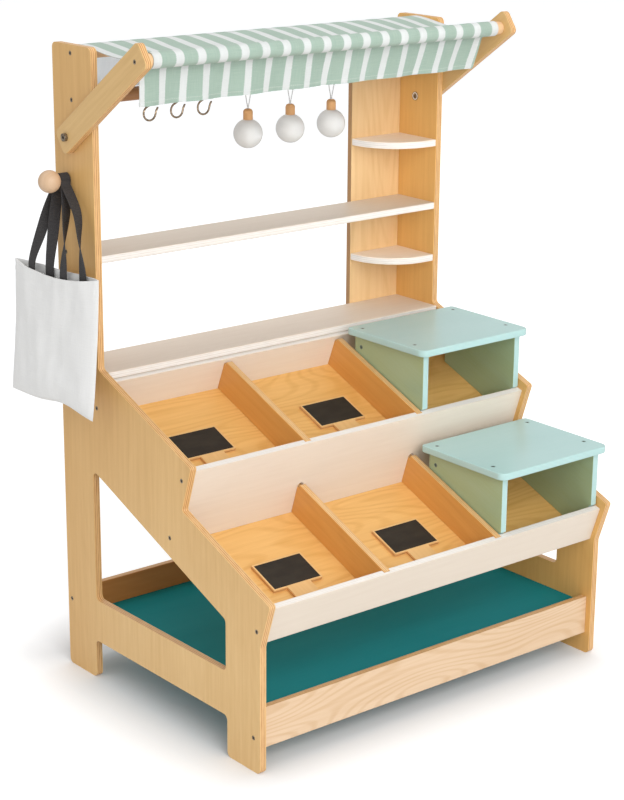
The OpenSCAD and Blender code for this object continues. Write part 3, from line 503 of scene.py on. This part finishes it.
# Painted wood: cloudy tone, fine specks and the small ripples of sprayed paint over the grain
painted_wood, given, give = new_group(
    "painted_wood", {"Place": "Vector", "Paint": "Color", "Rubbed": "Color"},
    {"Color": "Color", "Height": "Float"})
clouds = patches(painted_wood, given["Place"], (4.0, 14.0, 14.0), 0.3, 0.7)
specks = patches(painted_wood, given["Place"], (700.0, 900.0, 900.0), 0.45, 0.75)
telegraph = patches(painted_wood, given["Place"], (12.0, 420.0, 420.0), 0.3, 0.7)
speckled = plus(painted_wood, specks, telegraph)
paint_share = plus(painted_wood, times(painted_wood, clouds, 0.45), times(painted_wood, speckled, 0.2))
ripples = stretched_noise(painted_wood, given["Place"], (260.0, 260.0, 260.0))
painted_wood.links.new(mixed(painted_wood, paint_share, given["Paint"], given["Rubbed"]), give["Color"])
painted_wood.links.new(plus(painted_wood, ripples, times(painted_wood, telegraph, 0.5)), give["Height"])


def paint_finish(name, tones, roughness, specular=0.5, on_board=True):
    """A paint sprayed on wood, whole and rubbed, placed by the board's own places or Object coordinates."""
    finish, tree, shader = new_finish(name, roughness, {"Specular IOR Level": specular})
    if on_board:
        place = wire(tree, "Attribute", attribute_name="board").outputs["Vector"]
    else:
        place = wire(tree, "TexCoord").outputs["Object"]
    coat = wire(tree, "Group", {
        "Place": place, "Paint": tones[0], "Rubbed": tones[1]}, node_tree=painted_wood)
    dress(tree, shader, coat.outputs["Color"], coat.outputs["Height"], 0.10, 0.0003)
    return finish


bottom_paint = paint_finish("teal_paint", teal_tones, 0.62, specular=0.10)
finished_board("bottom_shelf", "stall", panel_ease, (1, 0, 0), (0, 0, 1), bottom_paint)


# Frame screws
# Steel screws with a blackened finish hold the boards, rails and dowels between the side panels. They are
# driven in from outside, and their socket heads are sunk flush with the veneer.
screw_tones = (0.15, 0.115, 0.08, 1), (0.40, 0.34, 0.27, 1)
screw_ease = 0.0001

# Worn metal: a mottled tone whose brighter spots are also the smoother ones
worn_metal, given, give = new_group(
    "worn_metal", {"Place": "Vector", "Dull": "Color", "Bright": "Color", "Dull Roughness": "Float"},
    {"Color": "Color", "Roughness": "Float"})
mottle = patches(worn_metal, given["Place"], (420.0, 420.0, 420.0), 0.35, 0.7, detail=4.0)
worn_metal.links.new(mixed(worn_metal, mottle, given["Dull"], given["Bright"]), give["Color"])
worn_metal.links.new(
    maths(worn_metal, "SUBTRACT", given["Dull Roughness"], times(worn_metal, mottle, 0.22)),
    give["Roughness"])


def metal_finish(name, tones, dull_roughness=0.5, metallic=0.95):
    """A metal, dull and bright in spots, slightly worn, given the roughness of its dull spots."""
    finish, tree, shader = new_finish(name, 0.4, {"Metallic": metallic})
    place = wire(tree, "TexCoord").outputs["Object"]
    skin = wire(tree, "Group", {
        "Place": place, "Dull": tones[0], "Bright": tones[1], "Dull Roughness": dull_roughness},
        node_tree=worn_metal)
    tree.links.new(skin.outputs["Color"], shader.inputs["Base Color"])
    tree.links.new(skin.outputs["Roughness"], shader.inputs["Roughness"])
    return finish


dark_steel = metal_finish("dark_steel", screw_tones)
finished_part("frame_screws", "stall", screw_ease, dark_steel)


# Dowels and hook rail
# Two turned beech dowels carry the canopy cloth, one between the posts and one between the arms. A third,
# dark brown, is the rail that the hooks and the play lights hang from.
beech_tones = (0.80, 0.55, 0.33, 1), (0.66, 0.40, 0.20, 1)
dark_rail_tones = (0.42, 0.20, 0.075, 1), (0.29, 0.12, 0.04, 1)
dowel_ease = 0.0008
level = (0, 0, 0)


def turned_finish(name, tones, turn, roughness):
    """A turned solid wood, pale and dark, whose grain runs along Object X after the turn."""
    finish, tree, shader = new_finish(name, roughness)
    place = wire(tree, "Mapping", {
        "Vector": wire(tree, "TexCoord").outputs["Object"], "Rotation": turn}).outputs[0]
    wood = wire(tree, "Group", {
        "Board": place, "Pale": tones[0], "Dark": tones[1], "Figure": 0.12, "Rings": plain_rings},
        node_tree=veneer)
    dress(tree, shader, wood.outputs["Color"], wood.outputs["Height"], 0.15, 0.0003)
    return finish


turned_beech = turned_finish("turned_beech", beech_tones, level, 0.5)
dark_rail = turned_finish("dark_rail", dark_rail_tones, level, 0.45)
finished_part("back_dowel", "stall", dowel_ease, turned_beech)
finished_part("front_dowel", "awning", dowel_ease, turned_beech)
finished_part("hook_rail", "stall", dowel_ease, dark_rail)


# Cup hooks
# Three bent wire hooks with an antique bronze finish are screwed up into the rail. The finish and the
# lacquer on it make the round wire a little thicker.
bronze_tones = (0.16, 0.11, 0.07, 1), (0.62, 0.49, 0.36, 1)
wire_lacquer = 0.00045

antique_bronze = metal_finish("antique_bronze", bronze_tones, 0.36)
hooks = bare_copy("cup_hooks")
bpy.ops.mesh.tris_convert_to_quads()
close_up()
apply_modifier(hooks, "SUBSURF", levels=2, render_levels=2)
apply_modifier(hooks, "DISPLACE", strength=wire_lacquer, mid_level=0.0)
bpy.ops.object.shade_smooth()
hooks.data.materials.append(antique_bronze)
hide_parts("cup_hooks")
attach(hooks, "stall")


# Canopy arms
# Two birch plywood arms swing the canopy up and down. Each turns on a socket-head bolt that runs into a
# brass insert in the post, whose collar shows inside, and a screw at its upper end holds the front dowel.
arm_rise = math.radians(35.2)
along_arm = (0, -math.cos(arm_rise), math.sin(arm_rise))
brass_tones = (0.30, 0.18, 0.06, 1), (0.64, 0.44, 0.18, 1)
arm_tones = (0.71, 0.475, 0.205, 1), (0.55, 0.330, 0.115, 1)
collar_radius = 0.0058
collar_roll = 0.0014
bolt_ease = 0.0004
insert_ease = 0.0002


def place_of(node):
    """A CAD piece's lowest and highest corners and its middle."""
    low, high = (Vector(corner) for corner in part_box(node))
    return low, high, (low + high) / 2


arm_ply = plywood_finish("arm_ply", arm_tones)
bright_brass = metal_finish("bright_brass", brass_tones)
for node in ("awning_arm_left", "awning_arm_right"):
    finished_board(node, "awning", panel_ease, along_arm, (1, 0, 0), arm_ply)
finished_part("pivot_bolts", "stall", bolt_ease, dark_steel)
inserts = finished_part("pivot_inserts", "stall", insert_ease, bright_brass)
inserts_middle = place_of("pivot_inserts")[2]
for post_face in (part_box("side_panel_left")[1][0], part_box("side_panel_right")[0][0]):
    bpy.ops.mesh.primitive_torus_add(
        major_segments=48, minor_segments=12, major_radius=collar_radius, minor_radius=collar_roll,
        location=(post_face, inserts_middle.y, inserts_middle.z), rotation=(0, math.pi / 2, 0))
    bpy.ops.object.shade_smooth()
    inserts.select_set(True)
    bpy.context.view_layer.objects.active = inserts
    bpy.ops.object.join()
finished_part("dowel_screws", "awning", screw_ease, dark_steel)


# Canopy cloth
# A plain-woven cotton with sage stripes. The roof is one sheet with a sleeve at each end, drawn over the
# two dowels, and it sags between them. A hemmed valance is sewn on below each sleeve.
roof_sag = 0.015
sag_skew = 1.5
roof_wave = 0.0035
roof_ripple = 0.0012
waves_lower = 0.001
sleeve_gap = 0.0012
cloth_thickness = 0.0011
rear_wrap = 235
front_wrap = -160
sleeve_steps = 40
stripe_count = 17
roof_white_share = 0.36
valance_white_share = 0.31
valance_stripe_shift = 0.10
stripe_fray = 0.035
stripe_blur = 0.012
show_through = 0.10
sage_tones = (0.286, 0.384, 0.316, 1), (0.344, 0.440, 0.374, 1)
white_tones = (0.63, 0.65, 0.64, 1), (0.57, 0.59, 0.58, 1)
# Painted light: the valances' backs glow with these colours, for light shining through the cloth.
rear_painted_glow = (0.25, 0.275, 0.31, 1)
front_painted_glow = (0.12, 0.14, 0.16, 1)
thread_pitch = 0.0007
hem_depth = 0.008
stitch_from_edge = 0.0068
stitch_pitch = 0.0036
stitch_half_width = 0.0005
stitch_share = 0.72
valance_gap = 0.0017
hang_turn = math.radians(205)
valance_shift = 0.007
fold_depth = 0.0035
fold_count = 7
fold_phase = math.radians(40)

roof_low, roof_high = place_of("canopy_roof")[:2]
back_low, back_high, back_axis = place_of("back_dowel")
front_axis = place_of("front_dowel")[2]
dowel_radius = (back_high.z - back_low.z) / 2
sleeve_radius = dowel_radius + sleeve_gap
hang_radius = sleeve_radius + valance_gap
cloth_width = roof_high.x - roof_low.x
roof_run = back_axis.y - front_axis.y
roof_rise = front_axis.z - back_axis.z
roof_lift = math.degrees(math.atan2(roof_rise, roof_run))
sag_turn = math.degrees(math.atan(roof_sag * math.pi * sag_skew / roof_run))

# Woven cotton: raised threads both ways, and the uneven thickness of the yarn
woven, given, give = new_group(
    "woven", {"Cloth": "Vector", "Pitch": "Float"}, {"Height": "Float", "Slub": "Float"})
place = split(woven, given["Cloth"])
half_turns = maths(woven, "DIVIDE", math.pi, given["Pitch"])
warp = maths(woven, "SINE", times(woven, place[0], half_turns))
weft = maths(woven, "SINE", times(woven, place[1], half_turns))
warp_slub = patches(woven, given["Cloth"], (900.0, 35.0, 0.0), 0.35, 0.7)
weft_slub = patches(woven, given["Cloth"], (35.0, 900.0, 0.0), 0.35, 0.7)
slub = times(woven, plus(woven, warp_slub, weft_slub), 0.5)
woven.links.new(slub, give["Slub"])
woven.links.new(plus(woven, times(woven, warp, weft), slub), give["Height"])


def cloth_grid(name, columns, rows, shape):
    """A grid of cloth whose points lie at shape(u, v), with u across it and v along it, both from 0 to 1."""
    bpy.ops.mesh.primitive_grid_add(x_subdivisions=columns, y_subdivisions=rows, size=1, calc_uvs=True)
    piece = bpy.context.object
    piece.name = name
    for point in piece.data.vertices:
        point.co = shape(point.co.x + 0.5, point.co.y + 0.5)
    return piece


def thicken(piece, thickness, hem_at=None, plain_share=0.55, turn_over=False):
    """Gives a cloth its thickness, full only where hem_at finds its hem; its back takes its second finish."""
    group = ""
    share = 0.0
    if turn_over:
        open_up(piece)
        bpy.ops.mesh.flip_normals()
        close_up()
    if hem_at:
        group = piece.vertex_groups.new(name="hem").name
        hem_points = [point.index for point in piece.data.vertices if hem_at(point.co)]
        piece.vertex_groups["hem"].add(hem_points, 1.0, "REPLACE")
        share = plain_share
    apply_modifier(piece, "SOLIDIFY", thickness=thickness, offset=0.0, vertex_group=group,
                   thickness_vertex_group=share, material_offset=max(0, len(piece.data.materials) - 1))
    bpy.ops.object.shade_smooth_by_angle(angle=math.radians(60))


def striped_finish(name, length, stitched, print_share):
    """Cotton with stripes printed on one side: stripes across the width, weave, and a valance's stitches."""
    white_share = valance_white_share if stitched else roof_white_share
    stripe_shift = valance_stripe_shift if stitched else 0.0
    finish, tree, shader = new_finish(name, 0.88, {"Sheen Weight": 0.12})
    uv = wire(tree, "UVMap", uv_map="UVMap").outputs[0]
    cloth = vectors(tree, "MULTIPLY", uv, (cloth_width, length, 0.0))
    weave = wire(tree, "Group", {"Cloth": cloth, "Pitch": thread_pitch}, node_tree=woven)
    across = split(tree, uv)[0]
    frayed = times(tree, maths(tree, "SUBTRACT", weave.outputs["Slub"], 0.5), stripe_fray)
    stripes_across = times(tree, across, stripe_count + white_share)
    shifted = plus(tree, stripes_across, stripe_shift)
    stripe = maths(tree, "FRACT", plus(tree, shifted, frayed))
    dyed = spread(tree, stripe, white_share - stripe_blur, white_share + stripe_blur)
    undyed_end = spread(tree, stripe, 1.0 - stripe_blur, 1.0)
    sage_share = times(tree, maths(tree, "SUBTRACT", dyed, undyed_end), print_share)
    white = mixed(tree, weave.outputs["Slub"], *white_tones)
    green = mixed(tree, weave.outputs["Slub"], *sage_tones)
    colour = mixed(tree, sage_share, white, green)
    height = weave.outputs["Height"]
    if stitched:
        along, down = split(tree, cloth)[:2]
        run = maths(tree, "FRACT", maths(tree, "DIVIDE", along, stitch_pitch))
        off_line = maths(tree, "ABSOLUTE", maths(tree, "SUBTRACT", down, length - stitch_from_edge))
        on_line = maths(tree, "LESS_THAN", off_line, stitch_half_width)
        stitch = times(tree, on_line, maths(tree, "LESS_THAN", run, stitch_share))
        colour = mixed(tree, times(tree, stitch, 0.35), colour, white_tones[0])
        height = maths(tree, "SUBTRACT", height, times(tree, on_line, 1.5))
    dress(tree, shader, colour, height, 0.25, 0.0003)
    return finish


def round_dowel(axis, start, stop):
    """Points of a sleeve round a dowel, from one angle to another, seen from the left with the front at 0."""
    angles = np.radians(np.linspace(start, stop, sleeve_steps))
    return np.column_stack((axis.y - sleeve_radius * np.cos(angles), axis.z + sleeve_radius * np.sin(angles)))


sag_share = np.linspace(0, 1, sleeve_steps)[1:-2]
chord_y = back_axis.y - roof_run * sag_share - sleeve_radius * -math.sin(math.radians(roof_lift))
chord_z = back_axis.z + roof_rise * sag_share + sleeve_radius * math.cos(math.radians(roof_lift))
roof_line = np.concatenate((
    round_dowel(back_axis, rear_wrap, 90 + roof_lift),
    np.column_stack((chord_y, chord_z - roof_sag * np.sin(math.pi * sag_share ** sag_skew))),
    round_dowel(front_axis, 90 + roof_lift + sag_turn, front_wrap)))
roof_lengths = np.concatenate(([0], np.cumsum(np.linalg.norm(np.diff(roof_line, axis=0), axis=1))))
roof_length = roof_lengths[-1]


def roof_shape(u, v):
    """A point of the roof: on the sleeves' line, with shallow waves where it hangs free."""
    y = np.interp(v * roof_length, roof_lengths, roof_line[:, 0])
    z = np.interp(v * roof_length, roof_lengths, roof_line[:, 1])
    x = roof_low.x + cloth_width * u
    free = max(0.0, min(1.0, (back_axis.y - y) / roof_run))
    on_top = 1.0 if z > back_axis.z - roof_sag / 2 else 0.0
    hang = on_top * math.sin(math.pi * free) ** 2
    wave = noise.noise(Vector((x * 9, y * 6, 0.3))) * roof_wave
    wave += noise.noise(Vector((x * 24, y * 9, 4.1))) * roof_ripple
    return x, y, z + hang * (wave - waves_lower)


roof = cloth_grid("canopy_roof_cloth", 150, 120, roof_shape)
roof.data.materials.append(striped_finish("roof_face", roof_length, False, 1.0))
roof.data.materials.append(striped_finish("roof_back", roof_length, False, show_through))
thicken(roof, cloth_thickness, turn_over=True)
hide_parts("canopy_roof")
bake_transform(roof)


def valance(node, body, axis, tuck, left_flow, right_flow, seed, faces_front, painted_glow):
    """A hemmed strip that hangs from under a sleeve: it tucks in below it, flows back and falls in folds; its
    back glows, painted light.
    """
    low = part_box(node)[0]
    top_y = axis.y - hang_radius * math.cos(hang_turn)
    top_z = axis.z + hang_radius * math.sin(hang_turn)
    drop = top_z - low.z
    length = math.hypot(drop, (left_flow + right_flow) / 2)

    def shape(u, v):
        x = roof_low.x - valance_shift + cloth_width * u
        fold = math.sin(math.tau * fold_count * u + fold_phase)
        broad_crease = noise.noise(Vector((x * 21, v * 1.5, seed))) * 0.6
        fine_crease = noise.noise(Vector((x * 47, v * 2, seed))) * 0.35
        out = fold_depth * (fold + broad_crease + fine_crease) * v ** 0.8
        flow = tuck * min(1.0, v / 0.2) + (left_flow + (right_flow - left_flow) * u) * v
        sway = 0.5 * fold_depth * noise.noise(Vector((x * 12, v * 1.2, seed + 3))) * v
        return x + sway, top_y + flow - out, top_z - drop * v

    strip = cloth_grid(node + "_cloth", 240, 24, shape)
    hem_top = low.z + hem_depth
    back_finish = striped_finish(node + "_back", length, True, show_through)
    # Painted light: the back glows, standing in for light shining through the thin cloth.
    back_shader = back_finish.node_tree.nodes["Principled BSDF"]
    back_shader.inputs["Emission Color"].default_value = painted_glow
    back_shader.inputs["Emission Strength"].default_value = 1.0
    strip.data.materials.append(striped_finish(node + "_face", length, True, 1.0))
    strip.data.materials.append(back_finish)
    thicken(strip, 2 * cloth_thickness, lambda point: point.z < hem_top, turn_over=faces_front)
    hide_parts(node)
    if body == "front_flap":
        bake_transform(strip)
    else:
        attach(strip, body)


valance("front_valance", "front_flap", front_axis, tuck=0.004, left_flow=0.005, right_flow=0.027,
        seed=2.5, faces_front=True, painted_glow=front_painted_glow)
valance("rear_valance", "stall", back_axis, tuck=0.0, left_flow=0.008, right_flow=0.008,
        seed=7.5, faces_front=False, painted_glow=rear_painted_glow)


# Play lights
# Three painted wooden balls on turned necks hang like bulbs. A thin grey cord is knotted in each neck's bore
# and goes round the hook rail.
bulb_tones = (0.71, 0.705, 0.690, 1), (0.64, 0.635, 0.620, 1)
neck_tones = (0.66, 0.36, 0.15, 1), (0.50, 0.24, 0.08, 1)
cord_tones = (0.78, 0.79, 0.79, 1), (0.64, 0.645, 0.65, 1)
cord_diameter = 0.002
cord_twist = 0.004
loop_slack = 0.7
legs_apart = 0.62
bore_depth = 0.005
legs_bend_above = 0.003
neck_ease = 0.0005
upright = (0, math.pi / 2, 0)

bulb_paint = paint_finish("bulb_paint", bulb_tones, 0.42, on_board=False)
neck_wood = turned_finish("neck_wood", neck_tones, upright, 0.5)
cord_yarn, cord_tree, cord_shader = new_finish("cord_yarn", 0.8)
cord_place = split(cord_tree, wire(cord_tree, "TexCoord").outputs["Object"])
cord_along = plus(cord_tree, cord_place[2], cord_place[0])
cord_lay = maths(cord_tree, "SINE", times(cord_tree, cord_along, math.tau / cord_twist))
cord_share = spread(cord_tree, cord_lay, -1.0, 1.0)
cord_colour = mixed(cord_tree, cord_share, *cord_tones)
dress(cord_tree, cord_shader, cord_colour, cord_share, 0.4, 0.0004)
rail_low, rail_high, rail_axis = place_of("hook_rail")
loop_radius = (rail_high.z - rail_low.z) / 2 + cord_diameter * loop_slack
loop_foot = cord_diameter * legs_apart

for number in (1, 2, 3):
    body = f"light_{number}"
    bulb_low, bulb_high, bulb_middle = place_of(f"bulb_{number}")
    neck_high = place_of(f"bulb_neck_{number}")[1]
    bulb_radius = (bulb_high.y - bulb_low.y) / 2
    bpy.ops.mesh.primitive_uv_sphere_add(
        segments=72, ring_count=48, radius=bulb_radius,
        location=(bulb_middle.x, bulb_middle.y, bulb_low.z + bulb_radius))
    bulb = bpy.context.object
    bulb.name = f"bulb_{number}_piece"
    bpy.ops.object.transform_apply(location=True, rotation=True, scale=True)
    open_up(bulb)
    bpy.ops.mesh.bisect(plane_co=(0, 0, bulb_high.z), plane_no=(0, 0, 1), clear_outer=True, use_fill=True)
    close_up()
    bpy.ops.object.shade_smooth_by_angle(angle=math.radians(40))
    bulb.data.materials.append(bulb_paint)
    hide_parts(f"bulb_{number}")
    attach(bulb, body)
    finished_part(f"bulb_neck_{number}", body, neck_ease, neck_wood)

    bore_floor = neck_high.z - bore_depth
    half_loop = [
        (loop_radius * math.sin(turn), rail_axis.z + loop_radius * math.cos(turn))
        for turn in (math.radians(degrees) for degrees in range(0, 105, 6))]
    half_loop += [(loop_foot, neck_high.z + legs_bend_above), (loop_foot, bore_floor)]
    route = [(-y, z) for y, z in reversed(half_loop)] + half_loop[1:]
    cord_curve = bpy.data.curves.new(f"bulb_cord_{number}_piece", "CURVE")
    cord_curve.dimensions = "3D"
    cord_curve.bevel_depth = cord_diameter / 2
    cord_curve.bevel_resolution = 3
    cord_curve.use_fill_caps = True
    spline = cord_curve.splines.new("POLY")
    spline.points.add(len(route) - 1)
    for point, (y, z) in zip(spline.points, route):
        point.co = (bulb_middle.x, rail_axis.y + y, z, 1)
    cord = bpy.data.objects.new(f"bulb_cord_{number}_piece", cord_curve)
    scene.collection.objects.link(cord)
    cord.data.materials.append(cord_yarn)
    cord_length = sum(math.dist(a, b) for a, b in zip(route, route[1:]))
    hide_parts(f"bulb_cord_{number}")
    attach(cord, body)


# Price signs
# Four thin plywood signs, each sawn with its flat stem from one sheet, lie loose in the trays. A chalkboard
# face, thinner still, is let into each one.
sign_tones = (0.80, 0.51, 0.22, 1), (0.66, 0.37, 0.13, 1)
sign_thickness = 0.006
sign_ease = 0.0004
chalk_ease = 0.0002
slate_tones = (0.019, 0.014, 0.009, 1), (0.034, 0.026, 0.017, 1)

sign_ply = plywood_finish("sign_ply", sign_tones, figure=0.10, roughness=0.45, thickness=sign_thickness)
chalkboard, slate_tree, slate_shader = new_finish("chalkboard", 0.72, {"Specular IOR Level": 0.35})
slate_place = wire(slate_tree, "TexCoord").outputs["Object"]
dust = patches(slate_tree, slate_place, (26.0, 60.0, 60.0), 0.4, 0.85, detail=4.0)
slate_grain = stretched_noise(slate_tree, slate_place, (1500.0, 1500.0, 1500.0))
dress(slate_tree, slate_shader, mixed(slate_tree, dust, *slate_tones), slate_grain, 0.2, 0.0002)
for tray in ("upper", "lower"):
    for number in (1, 2):
        body = f"{tray}_price_{number}"
        finished_board(f"{tray}_sign_{number}", body, sign_ease, down_slope, off_slope, sign_ply)
        finished_part(f"{tray}_chalk_{number}", body, chalk_ease, chalkboard)


# Podiums
# Two loose display stands, each a level top on wedge-shaped sides with a batten between them, all sprayed
# in a pale mint satin. The sides' broad faces and the batten are coloured an olive mint, painted shade with
# warm light bounced off the golden trays. Their screws are painted over, and coloured dark, painted shade
# in their recesses.
mint_tones = (0.395, 0.590, 0.570, 1), (0.450, 0.635, 0.620, 1)
shaded_mint_tones = (0.345, 0.425, 0.225, 1), (0.385, 0.500, 0.345, 1)
broad_face = 0.9
top_ease = 0.0018
side_ease = 0.001
# Painted shade: the painted-over screws are coloured dark for the shade in their recesses.
shaded_screw_paint_tones = (0.10, 0.14, 0.125, 1), (0.18, 0.24, 0.215, 1)

mint_paint = paint_finish("mint_paint", mint_tones, 0.27)
shaded_mint_paint = paint_finish("shaded_mint_paint", shaded_mint_tones, 0.27)
shaded_screws = metal_finish("shaded_screws", shaded_screw_paint_tones, metallic=0.1)
for tray in ("upper", "lower"):
    body = tray + "_podium"
    finished_board(body + "_top", body, top_ease, (1, 0, 0), (0, 0, 1), mint_paint)
    sides = finished_board(
        body + "_sides", body, side_ease, down_slope, (1, 0, 0), shaded_mint_paint)
    sides.data.materials.append(mint_paint)
    # The broad side faces take the olive painted shade and bounced light, the edges the mint.
    for face in sides.data.polygons:
        face.material_index = 0 if abs(face.normal.x) > broad_face else 1
    finished_board(body + "_batten", body, side_ease, (1, 0, 0), (0, 1, 0), shaded_mint_paint)
    finished_part(body + "_screws", body, screw_ease, shaded_screws)


# Bag peg
# A beech ball on a round neck, turned in one piece and glued into the left post. Its grain runs along the
# neck, and it is sealed like the dowels.
ball_tones = (0.66, 0.465, 0.310, 1), (0.53, 0.345, 0.200, 1)
peg_ease = 0.0004

ball_wood = turned_finish("ball_wood", ball_tones, level, 0.5)
finished_part("bag_peg", "stall", peg_ease, ball_wood)


# Cloth bag
# A small shopping bag of plain off-white canvas, sewn at both sides and folded at the foot. It hangs slack
# beside the post, a little open, with its foot standing away from the panel.
bag_height = 0.226
bag_seam_out = 0.027
bag_foot_out = 0.016
bag_half_thickness = 0.011
bag_drag = 0.0035
bag_crumple = 0.0016
bag_sway = 0.004
bag_belly = 0.009
mouth_in = 0.003
mouth_tilt = 0.0045
mouth_sinks = 0.012
foot_in = 0.004
foot_arch = 0.010
canvas_thickness = 0.0012
canvas_tones = (0.80, 0.80, 0.79, 1), (0.74, 0.74, 0.73, 1)
canvas_pitch = 0.0011
bag_panel_gap = 0.0025
bag_hem_depth = 0.024

bag_low, bag_high, bag_middle = place_of("bag_body")
panel_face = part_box("side_panel_left")[0].x
bag_half_width = (bag_high.y - bag_low.y) / 2


def bag_shape(u, v):
    """A point of the bag: u goes round it from the rear seam by the outer face, v goes up from its foot."""
    outer = u <= 0.5
    t = 4 * u - 1 if outer else 3 - 4 * u
    swell = (1 - t * t) ** 0.65
    fill = min(1.0, v / 0.16) ** 0.5
    side = -1 if outer else 1
    thickness = bag_half_thickness * (1.15 - 0.25 * v) * swell * fill
    drag = bag_drag * noise.noise(Vector((t * 2.1 + 5 * side, v * 2.4, 1.7)))
    drag += bag_crumple * noise.noise(Vector((t * 5.5, v * 5.0 + 3 * side, 8.2)))
    seam_sway = bag_sway * math.sin(3.1 * v + 0.6) * t
    x = panel_face - bag_seam_out - bag_foot_out * (1 - v) + side * thickness + drag * (0.25 + swell) * fill
    x = min(x, panel_face - bag_panel_gap)
    front_belly = bag_belly * math.sin(math.pi * v) * max(0.0, t)
    drawn_in = 0.985 + 0.012 * math.cos(6.0 * v)
    y = bag_middle.y - t * bag_half_width * drawn_in + seam_sway * 0.5 - front_belly
    mouth_dip = mouth_sinks * (1 - t * t) * (1.0 if outer else 0.2)
    top = bag_high.z - mouth_in + mouth_tilt * (t + 1) - mouth_dip
    foot = bag_low.z + foot_in + foot_arch * math.exp(-((t - 0.3) / 0.45) ** 2)
    return x, y, foot + (top - foot) * v


bag = cloth_grid("bag_canvas_piece", 96, 60, bag_shape)
open_up(bag)
bpy.ops.mesh.remove_doubles(threshold=weld)
bpy.ops.mesh.normals_make_consistent(inside=False)
close_up()
bag_hem_low = bag_high.z - bag_hem_depth
thicken(bag, canvas_thickness * 1.6, lambda point: point.z > bag_hem_low, 0.6)
bag_canvas, bag_tree, bag_shader = new_finish("bag_canvas", 0.9, {"Sheen Weight": 0.1})
bag_cut = (4 * bag_half_width, bag_height, 0.0)
bag_uv = wire(bag_tree, "UVMap", uv_map="UVMap").outputs[0]
bag_cloth = vectors(bag_tree, "MULTIPLY", bag_uv, bag_cut)
bag_weave = wire(bag_tree, "Group", {"Cloth": bag_cloth, "Pitch": canvas_pitch}, node_tree=woven).outputs
bag_colour = mixed(bag_tree, bag_weave["Slub"], *canvas_tones)
dress(bag_tree, bag_shader, bag_colour, bag_weave["Height"], 0.2, 0.0004)
bag.data.materials.append(bag_canvas)
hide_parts("bag_body")
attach(bag, "bag")


# Bag straps
# Two bands of black cotton webbing, each sewn inside one face of the bag. They lie flat over the peg's neck,
# one upon the other, and turn edge-on as they come down to the bag.
strap_width = 0.0185
strap_thickness = 0.0017
webbing_tones = (0.022, 0.020, 0.021, 1), (0.050, 0.047, 0.048, 1)
rib_pitch = 0.0016
strap_length = 0.37
strap_from_panel = 0.0107
sewn_below_rim = 0.028
rises_over_rim = 0.004
leaves_peg_below = 0.004
neck_radius = 0.007
inner_wrap = neck_radius + 0.0014
outer_wrap = neck_radius + 0.0036

peg_middle = place_of("bag_peg")[2]
strap_middle = panel_face - strap_from_panel
webbing, web_tree, web_shader = new_finish("black_webbing", 0.75)
web_uv = wire(web_tree, "UVMap", uv_map="UVMap").outputs[0]
web_along = split(web_tree, web_uv)[1]
rib = maths(web_tree, "SINE", times(web_tree, web_along, math.tau * strap_length / rib_pitch))
web_share = patches(web_tree, web_uv, (14.0, 300.0, 0.0), 0.35, 0.75)
dress(web_tree, web_shader, mixed(web_tree, web_share, *webbing_tones), rib, 0.5, 0.0004)


def eased_line(points, share):
    """The place at a share of the way along a smooth line through points."""
    step = share * (len(points) - 1)
    at = min(int(step), len(points) - 2)
    f = step - at
    before, start, stop, after = (points[max(0, min(len(points) - 1, at + k))] for k in (-1, 0, 1, 2))
    return 0.5 * (2 * start + (stop - before) * f + (2 * before - 5 * start + 4 * stop - after) * f ** 2
                  + (3 * start - before - 3 * stop + after) * f ** 3)


def strap(name, ends, bows, turns, outs, wrap_radius):
    """A strap over the peg: its legs' ends, bows and turns, and how far they stand off the panel."""
    def leg(at, bow, turn, out):
        side = math.copysign(1, bow)
        start = Vector((panel_face - out, peg_middle.y - at, bag_high.z - sewn_below_rim))
        rim = Vector((panel_face - out, peg_middle.y - at, bag_high.z + rises_over_rim))
        tangent = Vector((strap_middle, peg_middle.y - side * wrap_radius, peg_middle.z - leaves_peg_below))
        low_third = rim.lerp(tangent, 0.36) - Vector((0, 0.5 * bow, 0))
        high_third = rim.lerp(tangent, 0.70) - Vector((0, bow, 0))
        flat = Vector((0, side, 0))
        over_peg = Vector((1, 0, 0))
        across = [flat.lerp(over_peg, share) for share in (turn, turn, 0.45, 0.8, 1.0)]
        return [start, rim, low_third, high_third, tangent], across

    rear_leg, front_leg = (leg(*four) for four in zip(ends, bows, turns, outs))
    over_line = []
    for angle in np.radians(np.linspace(165, 15, 7)):
        over_y = peg_middle.y - wrap_radius * math.cos(angle)
        over_z = peg_middle.z + wrap_radius * math.sin(angle)
        over_line.append(Vector((strap_middle, over_y, over_z)))
    line = rear_leg[0] + over_line + front_leg[0][::-1]
    across = rear_leg[1] + [Vector((1, 0, 0))] * len(over_line) + front_leg[1][::-1]

    def shape(u, v):
        return eased_line(line, v) + eased_line(across, v).normalized() * strap_width * (u - 0.5)

    band = cloth_grid(name, 6, 150, shape)
    band.data.materials.append(webbing)
    thicken(band, strap_thickness)
    return band


inner_strap = strap("bag_strap_inner", ends=(-0.022, 0.078), bows=(-0.002, 0.020), turns=(0.15, 0.0),
                    outs=(0.0245, 0.0262), wrap_radius=inner_wrap)
outer_strap = strap("bag_strap_outer", ends=(-0.067, 0.030), bows=(-0.003, 0.004), turns=(0.0, 0.0),
                    outs=(0.0300, 0.0318), wrap_radius=outer_wrap)
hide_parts("bag_straps")
for band in (inner_strap, outer_strap):
    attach(band, "bag")
